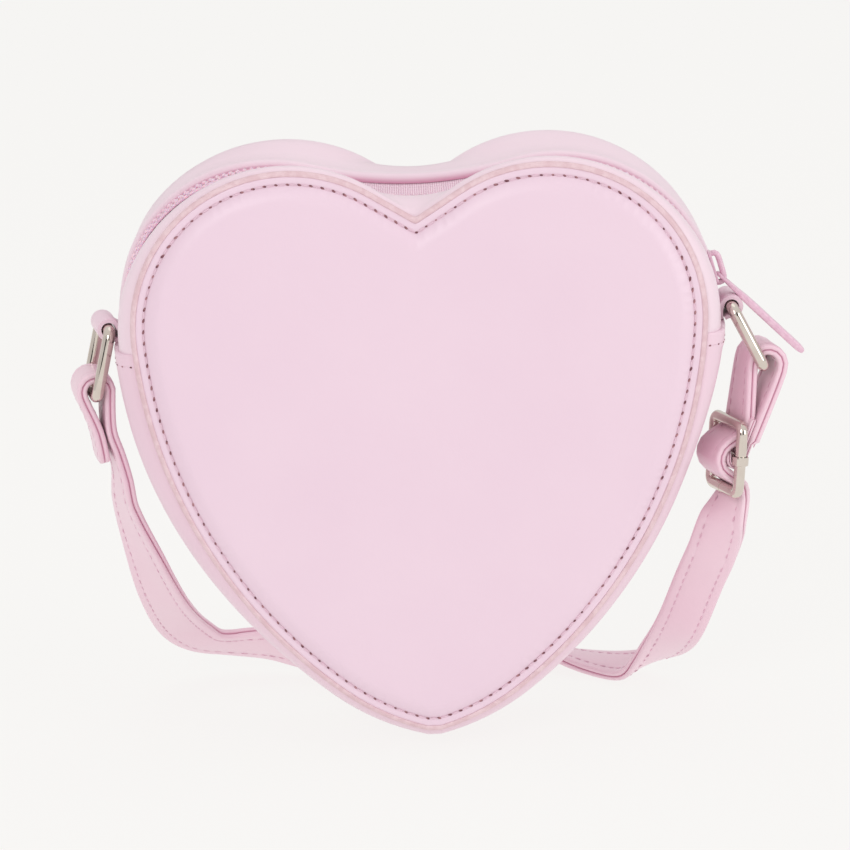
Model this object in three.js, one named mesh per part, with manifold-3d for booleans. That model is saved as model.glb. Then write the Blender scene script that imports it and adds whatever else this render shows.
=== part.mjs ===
// Heart-shaped crossbody bag with a zip round its top and a strap that a buckle adjusts.
// Millimetres, +Z up, the front faces -Y, and the origin is under the heart's tip.
import * as THREE from 'three';
import { mergeVertices } from 'three/addons/utils/BufferGeometryUtils.js';
import Module from 'manifold-3d';

const { PI, sin, cos, tan, asin, atan2, sqrt, hypot, min, max } = Math;
const rad = THREE.MathUtils.degToRad;
const lerp = THREE.MathUtils.lerp;

// Heart outline, measured at the front panel's row of stitches
const lobeX = 40;
const lobeRadius = 45.6;
const cleftSlope = 32;
const sideStart = 4;
const sideRadius = 156;
const tipStart = 52;
const tipRadius = 70;
const tipRound = 6;
const tipFlat = 4;
const tipFlatMost = 0.92;
const panelMargin = 3;
const panelCleftRound = 1.5;

// The middle of the bag's depth is a wider heart with a shallow cleft
const bagDepth = 55;
const middleShiftX = 4;
const middleShiftZ = -3.5;
const middleGrow = 0.9;
const middleCleftRound = 125;
const cleftRoundPower = 1.4;

// Leather, foam, board and cloth
const gap = 0.3;
const skin = 1.0;
const gussetLeather = 1.2;
const cloth = 0.5;
const board = 1.2;
const flangeWidth = 5;
const bendRise = 2.9;
const puff = 2.5;
const puffRun = 11;
const bottomFullness = 1;

// Where the bottom gusset laps over the zip gusset
const junctionDrop = 3.1;
const lapLength = 6;

// Zip
const zipY = -4;
const zipMouth = 13;
const tapeWidth = 12.3;
const tape = 0.8;
const coilWidth = 2;
const coilHeight = 1.6;
const coilSplit = 1.4;
const stopLength = 2.4;
const zipClosedAngle = 15.1;

// Slider and pull
const sliderLength = 13;
const sliderWidth = 8.4;
const sliderPlate = 1;
const sliderUnder = 1.4;
const sliderPost = 0.8;
const sliderPostLength = 6;
const bridgeWire = 1;
const bridgeWidth = 1.7;
const bridgeRise = 1.9;
const pullLength = 37;
const pullWidth = 4.2;
const pullThickness = 2.5;
const pullNeck = 1.1;
const pullNeckLength = 11;
const pullEye = 4;
const pullTilt = -45;
const pullSeat = -3.2;

// Tabs and rectangular rings
const ringWire = 1.9;
const ringInside = 17;
const ringPitch = 21.5;
const ringCorner = 2.5;
const tabWall = 1.5;
const tabWidth = 15.4;
const strapWidth = 16;
const leftRing = { side: -1, yaw: 11, lean: 14 };
const rightRing = { side: 1, yaw: 3, lean: 26 };

// Strap of two plies
const ply = 1.6;
const strapThickness = 2 * ply + gap;

// Buckle: a wire frame and a bar whose collars run on its side rails
const buckleWire = 1.8;
const buckleInside = 17;
const bucklePitch = 21.9;
const buckleCorner = 2.5;
const buckleYaw = 21;
const buckleLean = 5.9;
const buckleDropX = -11.2;
const buckleDropZ = -30.3;
const barWire = 1.5;
const collarWall = 0.5;
const collarLength = 2.8;

// Strap put away behind the bag in a double roll, on its edge
const rollX = 0;
const rollY = 68;
const rollRadius = 27;
const rollPitch = 7.9;
const rollTurns = 2.2;
const rollEntry = 220;
const rollStepsPerTurn = 18;

const wasm = await Module();
wasm.setup();

const bag = new THREE.Group();

// Finishes
function finish(color, roughness, metalness) {
  return new THREE.MeshStandardMaterial({ color, roughness, metalness });
}
const leather = finish('#efd5e2', 0.45, 0);
const strapLeather = finish('#e9c6d6', 0.45, 0);
const liningCloth = finish('#e8cdd8', 0.9, 0);
const foamPad = finish('#f1eeea', 0.95, 0);
const stiffBoard = finish('#cfc3b4', 0.9, 0);
const zipCloth = finish('#e9cad9', 0.85, 0);
const zipNylon = finish('#ecc4d6', 0.5, 0);
const paintedMetal = finish('#edd7e3', 0.35, 0.2);
const nickel = finish('#d7cabf', 0.15, 1);

function addMesh(name, geometry, material) {
  geometry.computeVertexNormals();
  const mesh = new THREE.Mesh(geometry, material);
  mesh.name = name;
  bag.add(mesh);
  return mesh;
}

function geometryFrom(points, faces) {
  const geometry = new THREE.BufferGeometry();
  const position = new Float32Array(points.flatMap((p) => [p.x, p.y, p.z]));
  geometry.setAttribute('position', new THREE.BufferAttribute(position, 3));
  geometry.setIndex(pointingOut(points, faces).flat());
  return geometry;
}

// Turns every face over where the closed body would hold a negative volume
function pointingOut(points, faces) {
  const triple = new THREE.Vector3();
  const volume = faces.reduce((sum, [a, b, c]) => (
    sum + triple.crossVectors(points[a], points[b]).dot(points[c])
  ), 0);
  return volume < 0 ? faces.map(([a, b, c]) => [a, c, b]) : faces;
}

// Joins sections of equally many points, and closes the two ends of an open run
function sweep(sections, closed) {
  const around = sections[0].length;
  const faces = [];
  const spans = closed ? sections.length : sections.length - 1;
  for (let i = 0; i < spans; i += 1) {
    const here = i * around;
    const next = ((i + 1) % sections.length) * around;
    for (let j = 0; j < around; j += 1) {
      const k = (j + 1) % around;
      faces.push([here + j, here + k, next + k], [here + j, next + k, next + j]);
    }
  }
  if (!closed) {
    for (const [start, flip] of [[0, true], [(sections.length - 1) * around, false]]) {
      for (let j = 0; j < around / 2 - 1; j += 1) {
        const corners = [j, j + 1, around - 2 - j, around - 1 - j].map((n) => start + n);
        const [a, b, c, d] = flip ? corners.reverse() : corners;
        faces.push([a, b, c], [a, c, d]);
      }
    }
  }
  return geometryFrom(sections.flat(), faces);
}

// The heart's arcs for one ring of the bag: spread runs from 0 at a panel to 1 at
// mid-depth, and grow moves the ring outwards from the panel's edge
function heart(spread, grow) {
  const offset = panelMargin + spread * middleGrow + grow;
  const x = lobeX + spread * middleShiftX;
  const z = spread * middleShiftZ;
  const radius = lobeRadius + offset;
  const start = rad(-sideStart);
  const sideX = x - (sideRadius - lobeRadius) * cos(start);
  const sideZ = z - (sideRadius - lobeRadius) * sin(start);
  const turn = rad(-tipStart);
  const tipX = sideX + (sideRadius - tipRadius) * cos(turn);
  const tipZ = sideZ + (sideRadius - tipRadius) * sin(turn);
  const round = max(tipRound + offset, 2 * tipFlat);
  const roundZ = tipZ - sqrt((tipRadius + offset - round) ** 2 - tipX ** 2);
  return {
    x, z, radius, round, roundZ,
    side: { x: sideX, z: sideZ, radius: sideRadius + offset },
    tip: { x: tipX, z: tipZ, radius: tipRadius + offset },
    tipTurn: atan2(roundZ - tipZ, -tipX),
    cleft: cleft(x, z, radius, spread),
  };
}

// The cleft is a rounded V near a panel and one wide arc further in
function cleft(x, z, radius, spread) {
  const slope = rad(cleftSlope);
  const round = lerp(panelCleftRound, middleCleftRound, spread ** cleftRoundPower);
  const lineEnd = x - radius * sin(slope);
  if (round * sin(slope) < lineEnd) {
    const vertex = z + radius * cos(slope) - lineEnd * tan(slope);
    const centre = vertex + round / cos(slope);
    const height = (at) => (at < round * sin(slope)
      ? centre - sqrt(round ** 2 - at ** 2) : vertex + at * tan(slope));
    return { end: lineEnd, turn: PI / 2 + slope, height };
  }
  const centre = z + sqrt((radius + round) ** 2 - x ** 2);
  const end = x * round / (radius + round);
  const turn = atan2(centre - z, -x);
  return { end, turn, height: (at) => centre - sqrt(round ** 2 - at ** 2) };
}

const junctionZ = middleShiftZ - junctionDrop;

// Half of the outline runs through these stretches, counted from the cleft:
// cleft 0 to 1, lobe to its level point at 2, junction at 3, end of the lap at 4,
// side arc to 5, tip arc to 6, and the rounding of the tip to 7
function outlinePoint(h, along) {
  const stretch = min(Math.floor(along), 6);
  const part = along - stretch;
  const onArc = (arc, turn) => [arc.x + arc.radius * cos(turn), arc.z + arc.radius * sin(turn)];
  const atHeight = (z) => {
    const turn = asin((z - h.z) / h.radius);
    return turn > rad(-sideStart) ? onArc(h, turn) : onArc(h.side, asin((z - h.side.z) / h.side.radius));
  };
  const lapZ = junctionZ - lapLength;
  const lapTurn = min(asin((lapZ - h.side.z) / h.side.radius), rad(-sideStart));
  switch (stretch) {
    case 0: return [h.cleft.end * part ** 1.5, h.cleft.height(h.cleft.end * part ** 1.5)];
    case 1: return onArc(h, h.cleft.turn * (1 - part));
    case 2: return atHeight(lerp(h.z, junctionZ, part));
    case 3: return atHeight(lerp(junctionZ, lapZ, part));
    case 4: return onArc(h.side, lerp(lapTurn, rad(-tipStart), part));
    case 5: return onArc(h.tip, lerp(rad(-tipStart), h.tipTurn, part));
    default: {
      const flatTurn = -PI / 2 + asin(min(tipFlat / 2 / h.round, tipFlatMost * cos(h.tipTurn)));
      const turn = lerp(h.tipTurn, flatTurn, part);
      return [h.round * cos(turn), h.roundZ + h.round * sin(turn)];
    }
  }
}

// Stations on one side of the outline, from one place to another
function stations(from, to, counts) {
  const list = [];
  for (let stretch = Math.floor(from); stretch < to; stretch += 1) {
    const start = max(from, stretch);
    const end = min(to, stretch + 1);
    const count = counts[stretch];
    for (let i = 0; i < count; i += 1) list.push(lerp(start, end, i / count));
  }
  list.push(to);
  return list;
}
const stretchCounts = [3, 9, 1, 1, 6, 1, 2];

function mirrored(list) {
  return [...list.map((along) => ({ along, side: 1 })),
    ...list.slice().reverse().map((along) => ({ along, side: -1 }))];
}

// Section of the gusset from a panel inwards: in is the depth behind the panel's face
const flangeDepth = skin + gap;
const bend = [
  { in: flangeDepth, spread: 0, grow: -flangeWidth },
  { in: flangeDepth, spread: 0, grow: -0.8 },
  { in: flangeDepth + 0.8, spread: 0.08, grow: 0.55 * bendRise },
  { in: flangeDepth + 2.9, spread: 0.28, grow: 0.96 * bendRise },
  { in: flangeDepth + 5.7, spread: 0.5, grow: 0.97 * bendRise },
  { in: flangeDepth + 10.2, spread: 0.8, grow: 0.5 * bendRise },
];
const wallDepth = flangeDepth + 14.7;
const wallEnd = { in: wallDepth, spread: 1, grow: 0 };
const crestIndex = 4;
const liningStart = 3;

// Outward travel of a place in the section, as the outline's sides see it
function outward(place) {
  return place.spread * (middleShiftX + middleGrow) + place.grow;
}

// Moves a section's line inwards, square to itself
function inset(line, distance) {
  return line.map((place, i) => {
    const before = line[max(i - 1, 0)];
    const after = line[min(i + 1, line.length - 1)];
    const run = after.in - before.in;
    const rise = outward(after) - outward(before);
    const length = hypot(run, rise);
    return {
      in: place.in + (rise / length) * distance,
      spread: place.spread,
      grow: place.grow - (run / length) * distance,
    };
  });
}

// A layer under a section's line; skip leaves out that many places at the panel's end
function layer(line, depth, thickness, skip = 0) {
  const outer = inset(line, depth).slice(skip);
  return [...outer, ...inset(line, depth + thickness).slice(skip).reverse()];
}

// A layer below another runs the other way, so that facing quads split alike
function underLayer(...settings) {
  return layer(...settings).reverse();
}

const lobeZ = -lowestPoint();

// Height of the tip's flat under the middle of the bottom gusset
function lowestPoint() {
  const h = heart(1, bottomFullness + gussetLeather + gap);
  return outlinePoint(h, 7)[1];
}

function place3(place, back, along, side) {
  const [x, z] = outlinePoint(heart(place.spread, place.grow), along);
  const y = bagDepth / 2 - place.in;
  return new THREE.Vector3(side * x, back ? y : -y, lobeZ + z);
}

function bandSections(section, back, path) {
  return path.map(({ along, side }) => (
    section(along).map((place) => place3(place, place.back ?? back, along, side))));
}

function sectionLength(line, count) {
  return line.slice(1, count).reduce((sum, place, i) => (
    sum + hypot(place.in - line[i].in, outward(place) - outward(line[i]))), 0);
}

// The place at a length along a section's line
function placeAt(line, length) {
  const found = line.findIndex((_, i) => sectionLength(line, i + 1) >= length - 1e-9);
  const i = min(max(found, 1), line.length - 1);
  const start = sectionLength(line, i);
  const part = (length - start) / (sectionLength(line, i + 1) - start);
  const mix = (key) => lerp(line[i - 1][key], line[i][key], part);
  return { in: mix('in'), spread: mix('spread'), grow: mix('grow') };
}

// The stretch of a line between two lengths, with the line's own places inside it
function stretchOf(line, from, to) {
  const inside = line.filter((_, i) => {
    const length = sectionLength(line, i + 1);
    return length > from + gap && length < to - gap;
  });
  return [placeAt(line, from), ...inside, placeAt(line, to)];
}

// The line without its start, in as many places, for a section that loses its flange
function trimmed(line, from) {
  return line.map((place, i) => {
    const pushed = from + 0.1 * i;
    return sectionLength(line, i + 1) > pushed ? place : placeAt(line, pushed);
  });
}

function overTop(to, extra = []) {
  const half = [...stations(0, to, stretchCounts), ...extra];
  return mirrored(half.slice().reverse()).filter(({ along, side }) => along > 0 || side > 0);
}

function wholeLoop() {
  return overTop(7);
}

// Panels
function puffAt(inside) {
  const rise = 1 - (1 - min(max(inside / puffRun, 0), 1)) ** 2;
  return puff * rise;
}

function loopAt(grow, depth, back) {
  return wholeLoop().map(({ along, side }) => (
    place3({ in: depth, spread: 0, grow }, back, along, side)));
}

// A heart-shaped sheet: each ring has its grow and the depths of its two faces
function sheet(name, rings, back, material) {
  const count = wholeLoop().length;
  const points = [];
  const faces = [];
  for (const key of ['near', 'far']) {
    for (const ring of rings) points.push(...loopAt(ring.grow, ring[key], back));
  }
  const join = (first, second) => {
    for (let j = 0; j < count; j += 1) {
      const k = (j + 1) % count;
      faces.push([first + j, first + k, second + k], [first + j, second + k, second + j]);
    }
  };
  const start = (face, ring) => (face * rings.length + ring) * count;
  for (let ring = 0; ring < rings.length - 1; ring += 1) {
    join(start(0, ring), start(0, ring + 1));
    join(start(1, ring + 1), start(1, ring));
  }
  join(start(1, 0), start(0, 0));
  const last = rings.length - 1;
  const outline = points.slice(start(0, last), start(0, last) + count)
    .map((p) => new THREE.Vector2(p.x, p.z));
  const turned = THREE.ShapeUtils.isClockWise(outline);
  for (const [a, b, c] of THREE.ShapeUtils.triangulateShape(outline, [])) {
    const near = start(0, last);
    const far = start(1, last);
    const [first, second, third] = turned ? [a, c, b] : [a, b, c];
    faces.push([near + first, near + second, near + third]);
    faces.push([far + first, far + third, far + second]);
  }
  addMesh(name, geometryFrom(points, evenFaces(faces)), material);
}

// Gives neighbouring faces of a closed body the same sense, starting from the first
function evenFaces(faces) {
  const edges = new Map();
  const key = (a, b) => (a < b ? `${a} ${b}` : `${b} ${a}`);
  faces.forEach((face, index) => {
    face.forEach((a, i) => {
      const edge = key(a, face[(i + 1) % 3]);
      edges.set(edge, [...(edges.get(edge) ?? []), index]);
    });
  });
  const done = new Set([0]);
  const queue = [0];
  const runs = (face, a, b) => face.some((n, i) => n === a && face[(i + 1) % 3] === b);
  while (queue.length) {
    const face = faces[queue.pop()];
    face.forEach((a, i) => {
      const b = face[(i + 1) % 3];
      for (const other of edges.get(key(a, b))) {
        if (!done.has(other)) {
          if (runs(faces[other], a, b)) faces[other].reverse();
          done.add(other);
          queue.push(other);
        }
      }
    });
  }
  return faces;
}

function panelLayers(end, back) {
  const insideStitches = [0, 0.2, 0.55, 1].map((share) => share * puffRun);
  const skinRings = [{ grow: 0, near: 0, far: skin }].concat(insideStitches.map((inside) => ({
    grow: -panelMargin - inside, near: -puffAt(inside), far: skin - puffAt(inside) })));
  sheet(`${end}_panel`, skinRings, back, leather);
  const foamRings = [0.2, 0.55, 1].map((share) => share * puffRun).map((inside) => ({
    grow: -panelMargin - inside, near: skin + gap - puffAt(inside), far: flangeDepth - gap }));
  sheet(`${end}_foam`, foamRings, back, foamPad);
  const boardEdge = -flangeWidth - gap - 0.1;
  sheet(`${end}_stiffener`, [{ grow: boardEdge, near: flangeDepth, far: flangeDepth + board }],
    back, stiffBoard);
  const liningDepth = flangeDepth + max(board, gussetLeather) + gap;
  sheet(`${end}_lining`, [{ grow: -2.2, near: liningDepth, far: liningDepth + cloth }],
    back, liningCloth);
}
panelLayers('front', false);
panelLayers('back', true);

// Gusset
const lapStep = gussetLeather + gap;

function bottomLine() {
  const lapped = bend.map((place, i) => (i ? { ...place, grow: place.grow + lapStep } : place));
  return [...lapped, { ...wallEnd, grow: bottomFullness + lapStep }];
}

// A layer that runs from the front over the wall to the back
function throughLayer(line, depth, thickness, skip = 0) {
  const face = inset(line, depth).slice(skip);
  const under = inset(line, depth + thickness).slice(skip);
  const frontThenBack = (half) => [...half.map((place) => ({ ...place, back: false })),
    ...half.map((place) => ({ ...place, back: true })).reverse()];
  return [...frontThenBack(face), ...frontThenBack(under).reverse()];
}

function bottomGusset() {
  const around = mirrored(stations(3, 7, stretchCounts));
  const leatherLayer = throughLayer(bottomLine(), 0, gussetLeather);
  addMesh('bottom_gusset', sweep(bandSections(() => leatherLayer, false, around), false), leather);
  const liningLayer = throughLayer(bottomLine(), lapStep, cloth, liningStart).reverse();
  const belowLap = mirrored(stations(4, 7, stretchCounts).slice(1));
  addMesh('bottom_gusset_lining', sweep(bandSections(() => liningLayer, false, belowLap), false),
    liningCloth);
}
bottomGusset();

// Zip gusset: each side has a leather strip, its lining, a tape and a row of coil
function zipSide(end, back) {
  const way = back ? 1 : -1;
  const depthAt = (y) => bagDepth / 2 - way * y;
  const foldDepth = depthAt(zipY + way * zipMouth / 2);
  const tapeDepth = depthAt(zipY + way * coilSplit / 2);
  const strip = [...bend, wallEnd, { ...wallEnd, in: foldDepth }];
  const stripLayer = layer(strip, 0, gussetLeather);
  const withoutFlange = layer(trimmed(strip, sectionLength(strip, 2)), 0, gussetLeather);
  const wallOnly = layer(trimmed(strip, sectionLength(strip, crestIndex + 2)), 0, gussetLeather);
  const sectionAt = (along) => {
    if (along < 2.91) return stripLayer;
    return along < 2.94 ? withoutFlange : wallOnly;
  };
  const path = overTop(2, [2.9, 2.92, 2.95, 3, 4]);
  addMesh(`zip_strip_${end}`, sweep(bandSections(sectionAt, back, path), false), leather);

  const toTape = [...bend, wallEnd, { ...wallEnd, in: tapeDepth }];
  const tapeEnd = sectionLength(toTape, toTape.length);
  const tapeStart = tapeEnd - tapeWidth;
  const tapeLine = stretchOf(toTape, tapeStart, tapeEnd);
  addMesh(`zip_tape_${end}`, sweep(bandSections(
    () => underLayer(tapeLine, lapStep, tape), back, overTop(2, [3, 3.8])), false), zipCloth);

  const liningLine = stretchOf(toTape, 0, tapeStart - 2 * gap);
  addMesh(`zip_strip_lining_${end}`, sweep(bandSections(
    () => underLayer(liningLine, lapStep + gap / 2, cloth, liningStart), back, overTop(2, [2.85])), false),
  liningCloth);

  const coilLine = stretchOf(toTape, tapeEnd - coilWidth, tapeEnd);
  addMesh(`zip_coil_${end}`, sweep(bandSections(
    () => layer(coilLine, gussetLeather - coilHeight, coilHeight), back, overTop(coilEnd())), false),
  zipNylon);
}

// Place on the outline of an angle on the mid-depth lobe, in degrees above level
function lobePlace(degrees) {
  return 2 - rad(degrees) / heart(1, 0).cleft.turn;
}
const sliderHalfAngle = () => THREE.MathUtils.radToDeg(sliderLength / 2 / heart(1, 0).radius);
const coilEnd = () => lobePlace(zipClosedAngle - sliderHalfAngle() - gap);

function zipStop(name, side) {
  const first = coilEnd() + 0.004;
  const last = first + (stopLength / heart(1, 0).radius) / heart(1, 0).cleft.turn;
  const halfWidth = coilSplit / 2 + coilWidth;
  const line = [-halfWidth, halfWidth].map((from) => (
    { in: bagDepth / 2 + zipY + from, spread: 1, grow: 0 }));
  const section = layer(line, gussetLeather - coilHeight, coilHeight);
  const path = [first, last].map((along) => ({ along, side }));
  addMesh(name, sweep(bandSections(() => section, false, path), false), paintedMetal);
}
zipSide('front', false);
zipSide('back', true);
zipStop('zip_stop_left', -1);
zipStop('zip_stop_right', 1);

// Solids that need joining or cutting
function solidFrom(geometry) {
  const bare = geometry.clone();
  for (const key of Object.keys(bare.attributes)) {
    if (key !== 'position') bare.deleteAttribute(key);
  }
  const merged = mergeVertices(bare, 1e-4);
  return new wasm.Manifold(new wasm.Mesh({
    numProp: 3,
    vertProperties: new Float32Array(merged.attributes.position.array),
    triVerts: new Uint32Array(merged.index.array),
  }));
}

function geometryOf(solid) {
  const mesh = solid.getMesh();
  const geometry = new THREE.BufferGeometry();
  geometry.setAttribute('position', new THREE.BufferAttribute(mesh.vertProperties, 3));
  geometry.setIndex([...mesh.triVerts]);
  return geometry;
}

// A flat outline given thickness: first axis to second axis, from one depth upwards
function prism(outline, holes, depth) {
  const ring = (points) => points.map(([x, y]) => new THREE.Vector2(x, y));
  const leftward = (list) => (THREE.ShapeUtils.isClockWise(list) ? list.reverse() : list);
  const shape = new THREE.Shape(leftward(ring(outline)));
  shape.holes = holes.map((hole) => new THREE.Path(ring(hole)));
  return new THREE.ExtrudeGeometry(shape, { depth, bevelEnabled: false });
}

function circlePoints(x, y, radius, from, to, steps) {
  return Array.from({ length: steps + 1 }, (_, i) => {
    const turn = rad(lerp(from, to, i / steps));
    return [x + radius * cos(turn), y + radius * sin(turn)];
  });
}

function roundedBar(x0, x1, halfWidth, radius) {
  return [[x0 + radius, -90, -180, -1], [x0 + radius, 180, 90, 1], [x1 - radius, 90, 0, 1],
    [x1 - radius, 0, -90, -1]].flatMap(([x, from, to, way]) => (
    circlePoints(x, way * (halfWidth - radius), radius, from, to, 3)));
}

// Slider: its own X points out of the bag and Z runs along the zip
const coilTop = coilHeight - gussetLeather;
const plateLow = coilTop + gap + 0.05;
const plateTop = plateLow + sliderPlate;
const bridgeTop = plateTop + bridgeRise + bridgeWire;

function plateSolid(from) {
  const outline = roundedBar(-sliderLength / 2, sliderLength / 2, sliderWidth / 2, 1.6);
  const plate = prism(outline, [], sliderPlate);
  plate.rotateY(-PI / 2);
  plate.translate(from + sliderPlate, 0, 0);
  return solidFrom(plate);
}

function bridgeSolid() {
  const half = sliderLength / 2 - 0.5;
  const leg = half - bridgeWire;
  const foot = plateTop - 0.3;
  const shoulder = 1.4;
  const outline = [[foot, -half], [bridgeTop - shoulder, -half], [bridgeTop, shoulder - half],
    [bridgeTop, half - shoulder], [bridgeTop - shoulder, half], [foot, half], [foot, leg],
    [bridgeTop - shoulder, leg], [bridgeTop - bridgeWire, half - shoulder],
    [bridgeTop - bridgeWire, shoulder - half], [bridgeTop - shoulder, -leg], [foot, -leg]];
  const bridge = prism(outline, [], bridgeWidth);
  bridge.rotateX(PI / 2);
  bridge.translate(0, bridgeWidth / 2, 0);
  return solidFrom(bridge);
}

const slider = new THREE.Group();
bag.add(slider);

function zipSlider() {
  const lowTop = -(lapStep + tape + sliderUnder);
  const post = new THREE.BoxGeometry(plateLow - lowTop + 0.6, sliderPost, sliderPostLength);
  post.translate((plateLow + lowTop) / 2, 0, 0);
  const solid = plateSolid(plateLow).add(plateSolid(lowTop - sliderPlate))
    .add(solidFrom(post)).add(bridgeSolid());
  const middle = heart(1, 0);
  const turn = rad(zipClosedAngle);
  slider.position.set(middle.x + middle.radius * cos(turn), zipY,
    lobeZ + middle.z + middle.radius * sin(turn));
  slider.rotation.y = -turn;
  slider.add(addMesh('zip_slider', geometryOf(solid), paintedMetal));
}
zipSlider();

function zipPull() {
  const halfEye = pullNeck / 2;
  const eyeInside = bridgeWidth / 2 + gap + 0.05;
  const hole = [[halfEye, -eyeInside], [halfEye, eyeInside], [halfEye + pullEye, eyeInside],
    [halfEye + pullEye, -eyeInside]];
  const neck = prism(roundedBar(-halfEye, pullNeckLength + 2, pullWidth / 2, 0.5), [hole], pullNeck);
  neck.translate(0, 0, -pullNeck / 2);
  const grip = prism(roundedBar(pullNeckLength, pullLength, pullWidth / 2, 1.9), [], pullThickness);
  grip.translate(0, 0, -pullThickness / 2);
  const pull = addMesh('zip_pull', geometryOf(solidFrom(neck).add(solidFrom(grip))), paintedMetal);
  pull.position.set(plateTop + bridgeRise / 2, 0, pullSeat);
  pull.rotation.y = rad(zipClosedAngle - pullTilt);
  slider.add(pull);
}
zipPull();

// Tabs: a leather loop on each side above the junction, turned a little with its ring
const tabHole = ringWire + gap;

function holePlace({ side, yaw }) {
  const wall = heart(1, 0);
  const near = wall.x + wall.radius + gap + tabWall + tabHole;
  return new THREE.Vector3(side * (near + tabWidth / 2 * tan(rad(yaw))), 0,
    lobeZ + junctionZ + gap + 0.2 + tabWall + tabHole);
}

function tab(name, ring) {
  const wall = heart(1, 0);
  const centre = holePlace(ring);
  const inner = wall.x + wall.radius + gap;
  const x = centre.x * ring.side;
  const outerRadius = tabHole + tabWall;
  const onSide = (points) => points.map(([across, z]) => [ring.side * across, z]);
  const outline = onSide([[inner, centre.z - outerRadius],
    ...circlePoints(x, centre.z, outerRadius, -90, 90, 12), [inner, centre.z + outerRadius / 2]]);
  const hole = onSide(circlePoints(x, centre.z, tabHole, 0, 345, 23));
  const loop = prism(outline, [hole], tabWidth);
  loop.rotateX(PI / 2);
  loop.translate(0, tabWidth / 2, 0);
  const position = loop.attributes.position;
  for (let i = 0; i < position.count; i += 1) {
    const share = min((Math.abs(position.getX(i)) - inner) / tabWall, 1);
    position.setX(i, position.getX(i) - share * position.getY(i) * tan(rad(ring.yaw)));
  }
  addMesh(name, geometryOf(solidFrom(loop)), leather);
}
tab('left_tab', leftRing);
tab('right_tab', rightRing);

// A closed wire along a rounded rectangle in its own YZ plane, from low to high
function wireLoop(halfWidth, low, high, corner, radius) {
  const corners = [[halfWidth - corner, high - corner, 0], [corner - halfWidth, high - corner, 90],
    [corner - halfWidth, low + corner, 180], [halfWidth - corner, low + corner, 270]];
  const path = corners.flatMap(([y, z, from]) => (
    circlePoints(y, z, corner, from, from + 90, 4).map(([py, pz], i) => (
      { y: py, z: pz, turn: rad(from + 90 * i / 4) }))));
  const sides = 8;
  const sections = path.map(({ y, z, turn }) => Array.from({ length: sides }, (_, i) => {
    const around = 2 * PI * (i + 0.5) / sides;
    const out = radius * cos(around);
    return new THREE.Vector3(radius * sin(around), y + out * cos(turn), z + out * sin(turn));
  }));
  return sweep(sections, true);
}

function ringFrame(name, ring) {
  const halfWidth = ringInside / 2 + ringWire;
  const mesh = addMesh(name, wireLoop(halfWidth, -ringPitch, 0, ringCorner, ringWire), nickel);
  mesh.position.copy(holePlace(ring));
  mesh.rotation.set(0, -ring.side * rad(ring.lean), rad(ring.yaw), 'ZYX');
  mesh.updateMatrixWorld();
  return mesh;
}
const leftRingMesh = ringFrame('left_ring', leftRing);
const rightRingMesh = ringFrame('right_ring', rightRing);

function lowBar(mesh) {
  return new THREE.Vector3(0, 0, -ringPitch).applyMatrix4(mesh.matrixWorld);
}

// Buckle
const buckle = new THREE.Group();
buckle.position.copy(lowBar(rightRingMesh)).add(new THREE.Vector3(buckleDropX, 0, buckleDropZ));
buckle.rotation.set(0, rad(buckleLean), rad(buckleYaw), 'ZYX');
buckle.updateMatrixWorld();
bag.add(buckle);
const railY = buckleInside / 2 + buckleWire;

function buckleFrame() {
  const half = bucklePitch / 2;
  const frame = wireLoop(railY, -half, half, buckleCorner, buckleWire);
  buckle.add(addMesh('buckle_frame', frame, nickel));
}

function buckleBar() {
  const bore = buckleWire + gap;
  const tube = (y, radius, length) => solidFrom(
    new THREE.CylinderGeometry(radius, radius, length, 16).rotateX(PI / 2).translate(0, y, 0));
  const bar = solidFrom(new THREE.CylinderGeometry(barWire, barWire, 2 * (railY - bore), 12));
  const solid = bar.add(tube(-railY, bore + collarWall, collarLength))
    .add(tube(railY, bore + collarWall, collarLength));
  const bored = solid.subtract(tube(-railY, bore, collarLength + 2))
    .subtract(tube(railY, bore, collarLength + 2));
  buckle.add(addMesh('buckle_bar', geometryOf(bored), nickel));
}
buckleFrame();
buckleBar();

// Path of a strap past round bars: a bar's reach is positive where it lies to the right
function pastBars(bars) {
  const legs = bars.slice(1).map((bar, i) => {
    const last = bars[i];
    const angle = atan2(bar.z - last.z, bar.x - last.x);
    return angle + asin((bar.reach - last.reach) / hypot(bar.x - last.x, bar.z - last.z));
  });
  const touch = (bar, angle) => [bar.x - bar.reach * sin(angle), bar.z + bar.reach * cos(angle)];
  const points = [touch(bars[0], legs[0])];
  for (let i = 1; i < bars.length - 1; i += 1) {
    let turn = legs[i] - legs[i - 1];
    if (bars[i].reach > 0 && turn > 0) turn -= 2 * PI;
    if (bars[i].reach < 0 && turn < 0) turn += 2 * PI;
    const steps = max(2, Math.round(Math.abs(turn) / rad(22)));
    for (let n = 0; n <= steps; n += 1) points.push(touch(bars[i], legs[i - 1] + turn * n / steps));
  }
  points.push(touch(bars.at(-1), legs.at(-1)));
  return points;
}

const vector = (x, y, z) => new THREE.Vector3(x, y, z);
const half = strapThickness / 2;

// Left end: a tail on the outer side, a loop round the ring's low bar and the run down
function leftLoop() {
  const bar = lowBar(leftRingMesh);
  const turn = rad(leftRing.yaw);
  const reach = ringWire + half + gap + 0.6;
  const loop = circlePoints(0.2, 1.2, reach, 195, -15, 10);
  const side = [[2.1, -22.5], [0.3, -12], ...loop, [4.4, -12], [6.6, -19], [9, -27.5]];
  const across = vector(-sin(turn), cos(turn), 0);
  return side.map(([x, z]) => (
    { at: vector(bar.x + x * cos(turn), bar.y + x * sin(turn), bar.z + z), across }));
}

const station = ([x, y, z], across) => ({ at: vector(x, y, z), across: vector(...across) });

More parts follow.
